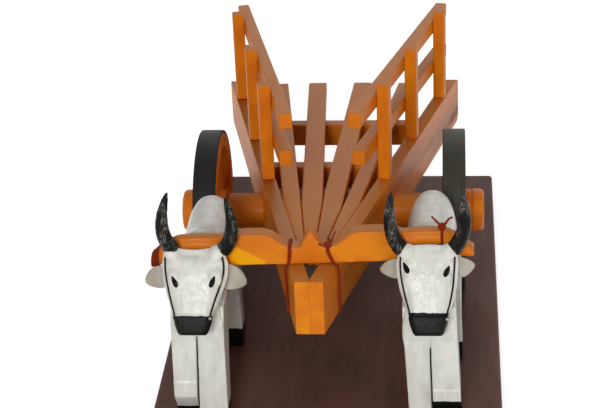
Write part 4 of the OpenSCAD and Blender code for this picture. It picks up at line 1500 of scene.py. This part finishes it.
class CART_OT_bullock_tails(bpy.types.Operator):
    """Build the carved tails that hang down the rumps"""
    bl_idname = "cart.bullock_tails"
    bl_label = "Bullock Tails"

    def execute(self, context):
        enamel = bpy.data.materials["White enamel with black hooves"]
        for side, sign in SIDES:
            place = Placer(side, sign)
            run = [(0, 63.5, 67.5), (0, 66.6, 62.5), (0, 67.8, 54), (0, 67.8, 42), (0, 67.4, 32),
                   (0, 67.2, 26), (0, 67, 20.5)]
            path = curve_through([place.point(p) for p in run], 0.5 * MM)
            tail = join_shapes(f"Bullock_{side}_tail_cord",
                               [tube(path, lambda t: (0.85 + 0.5 * max(0, (t - 0.78) / 0.22)
                                                      * (1 - 0.7 * max(0, (t - 0.93) / 0.07))) * MM * 0.95,
                                     16)])
            store_crease_shade(tail, 1 * MM)
            smooth_shade(tail, 60)
            finish_piece(tail, enamel, "stand", [f"bullock_{side}_tail"])
        return {"FINISHED"}


# a nose rope's way from the horn to the muzzle: out from the middle against down the face
ROPE_RUN = ((12.0, 4.2), (12.9, 7.0), (12.9, 11.0), (12.1, 16.0), (10.5, 21.5), (8.8, 26.2), (7.9, 28.6))


class CART_OT_nose_ropes(bpy.types.Operator):
    """Build the black nose ropes and the bead at each muzzle"""
    bl_idname = "cart.nose_ropes"
    bl_label = "Nose Ropes"

    def execute(self, context):
        sizes = context.scene.cart_sizes
        colours = context.scene.cart_colours
        cotton = shared("Black cotton thread", twisted_thread, "Black cotton thread", tuple(colours.rope))
        pale = shared("Pale bead enamel", plain_enamel, "Pale bead enamel", linear("B8B4A8"))
        d = sizes.nose_rope
        for side, sign in SIDES:
            place = Placer(side, sign)
            tree = tree_of(f"Bullock_{side}_head_block")
            shapes = []
            for s in (-1, 1):
                controls = []
                for x, down in ROPE_RUN:
                    x += HEAD_MORE[side][s > 0] * math.exp(-((down - 9) / 8) ** 2)
                    start = place.point(head_point(s * (x + 6), down, 7))
                    aim = place.point(head_point(s * (x - 5.5), down, -6.2)) - start
                    hit = tree.ray_cast(start, aim.normalized())[0]
                    if hit is None:
                        raise RuntimeError("a nose rope misses the head")
                    controls.append(hit - aim.normalized() * d * 0.42)
                behind = place.point(head_point(s * 11.0, 1.8, -7.0))
                path = curve_through([behind] + controls, 0.35 * MM)
                shapes.append(tube(path, lambda t: d / 2, 10, lobes=3, pitch=3 * d))
            rope = join_shapes(f"Bullock_{side}_nose_cord", shapes)
            smooth_shade(rope, 60)
            finish_piece(rope, cotton, "stand", [f"bullock_{side}_nose_rope"])
            spot = place.point(head_point(sign * 7.4, 28.7, 0.2))
            bead = join_shapes(f"Bullock_{side}_bead", [ball(spot, 0.62 * MM, rings=12, sides=20)])
            smooth_shade(bead, 60)
            finish_piece(bead, pale, "stand")
        return {"FINISHED"}


# ---- stage ----

# the camera's place, how far it looks down and left, its roll, and its lens in mm
CAMERA_AT = Vector((52.5, -761.7, 455.5)) * MM
CAMERA_DOWN = math.radians(27.15)
CAMERA_LEFT = math.radians(4.9)
CAMERA_ROLL = math.radians(-2.37)
CAMERA_LENS = 111.7


class CART_OT_stage(bpy.types.Operator):
    """Set up the floor, the lamps and the camera"""
    bl_idname = "cart.stage"
    bl_label = "Stage"

    def execute(self, context):
        scene = context.scene
        scene.view_settings.view_transform = "Standard"
        self.floor()
        self.lamps(scene)
        self.camera(scene)
        return {"FINISHED"}

    def floor(self):
        """A white sweep a few metres across, its edges out of view."""
        reach = 6.0
        floor = mesh_piece("Floor", [(-reach, -reach, 0), (reach, -reach, 0), (reach, reach, 0),
                                     (-reach, reach, 0)], [(0, 1, 2, 3)])
        floor.data.materials.append(studio_white("White paper floor", 0.62))

    def lamps(self, scene):
        """Two soft boxes in front, a weak one behind, and an even white room."""
        for name, at, size, power in (("Key", (-0.2, -1.95, 0.95), 0.42, 23.0),
                                      ("Fill", (1.4, -1.2, 0.7), 1.0, 7.0),
                                      ("Back", (0.3, 1.6, 1.3), 1.2, 5.0)):
            light = bpy.data.lights.new(name, "AREA")
            light.energy = power
            light.size = size
            lamp = bpy.data.objects.new(name, light)
            lamp.location = at
            lamp.rotation_euler = (Vector((0, 0, 0.06)) - Vector(at)).to_track_quat("-Z", "Y").to_euler()
            scene.collection.objects.link(lamp)
        world = bpy.data.worlds.new("White room")
        world.use_nodes = True
        tree = world.node_tree
        tree.nodes.clear()
        path = add(tree, "ShaderNodeLightPath")
        seen = add(tree, "ShaderNodeMath",
                   {0: path.outputs["Is Camera Ray"], 1: path.outputs["Is Glossy Ray"]},
                   operation="MAXIMUM").outputs[0]
        strength = add(tree, "ShaderNodeMapRange", {"Value": seen, "To Min": 0.34, "To Max": 1.0}).outputs[0]
        sky = add(tree, "ShaderNodeBackground", {"Color": (1, 1, 1, 1), "Strength": strength})
        add(tree, "ShaderNodeOutputWorld", {"Surface": sky.outputs[0]})
        scene.world = world

    def camera(self, scene):
        """A long lens looking down on the bullocks' faces."""
        data = bpy.data.cameras.new("Camera")
        data.sensor_width = 36
        data.lens = CAMERA_LENS
        forward = Vector((-math.sin(CAMERA_LEFT) * math.cos(CAMERA_DOWN),
                          math.cos(CAMERA_LEFT) * math.cos(CAMERA_DOWN), -math.sin(CAMERA_DOWN)))
        right = Vector((math.cos(CAMERA_LEFT), math.sin(CAMERA_LEFT), 0))
        up = right.cross(forward)
        turned_right = right * math.cos(CAMERA_ROLL) + up * math.sin(CAMERA_ROLL)
        turned_up = up * math.cos(CAMERA_ROLL) - right * math.sin(CAMERA_ROLL)
        camera = bpy.data.objects.new("Camera", data)
        camera.matrix_world = Matrix.Translation(CAMERA_AT) @ Matrix(
            (turned_right, turned_up, -forward)).transposed().to_4x4()
        scene.collection.objects.link(camera)
        scene.camera = camera


# The order matters: threads and eyes are laid on the finished wood
OPERATORS = (CART_OT_base_board, CART_OT_shafts, CART_OT_deck, CART_OT_fences, CART_OT_axle,
             CART_OT_wheels, CART_OT_yoke, CART_OT_lashings, CART_OT_bullock_bodies,
             CART_OT_bullock_heads, CART_OT_bullock_horns, CART_OT_bullock_ears,
             CART_OT_bullock_tails, CART_OT_nose_ropes, CART_OT_stage)


class CART_PT_panel(bpy.types.Panel):
    """Lists the steps that build the cart."""
    bl_idname = "CART_PT_panel"
    bl_label = "Bullock Cart"
    bl_space_type = "VIEW_3D"
    bl_region_type = "UI"
    bl_category = "Bullock Cart"

    def draw(self, context):
        for settings in (context.scene.cart_sizes, context.scene.cart_colours):
            for name in settings.__annotations__:
                self.layout.prop(settings, name)
        for operator in OPERATORS:
            self.layout.operator(operator.bl_idname)


CLASSES = (CartSizes, CartColours) + OPERATORS + (CART_PT_panel,)


def register():
    """Registers the classes and their settings."""
    for cls in CLASSES:
        bpy.utils.register_class(cls)
    bpy.types.Scene.cart_sizes = bpy.props.PointerProperty(type=CartSizes)
    bpy.types.Scene.cart_colours = bpy.props.PointerProperty(type=CartColours)


def unregister():
    """Removes the settings and the classes."""
    del bpy.types.Scene.cart_colours
    del bpy.types.Scene.cart_sizes
    for cls in reversed(CLASSES):
        bpy.utils.unregister_class(cls)


def main():
    """Builds every piece in order."""
    register()
    for operator in OPERATORS:
        group, name = operator.bl_idname.split(".")
        getattr(getattr(bpy.ops, group), name)()
    bpy.context.view_layer.update()


if __name__ == "__main__":
    main()
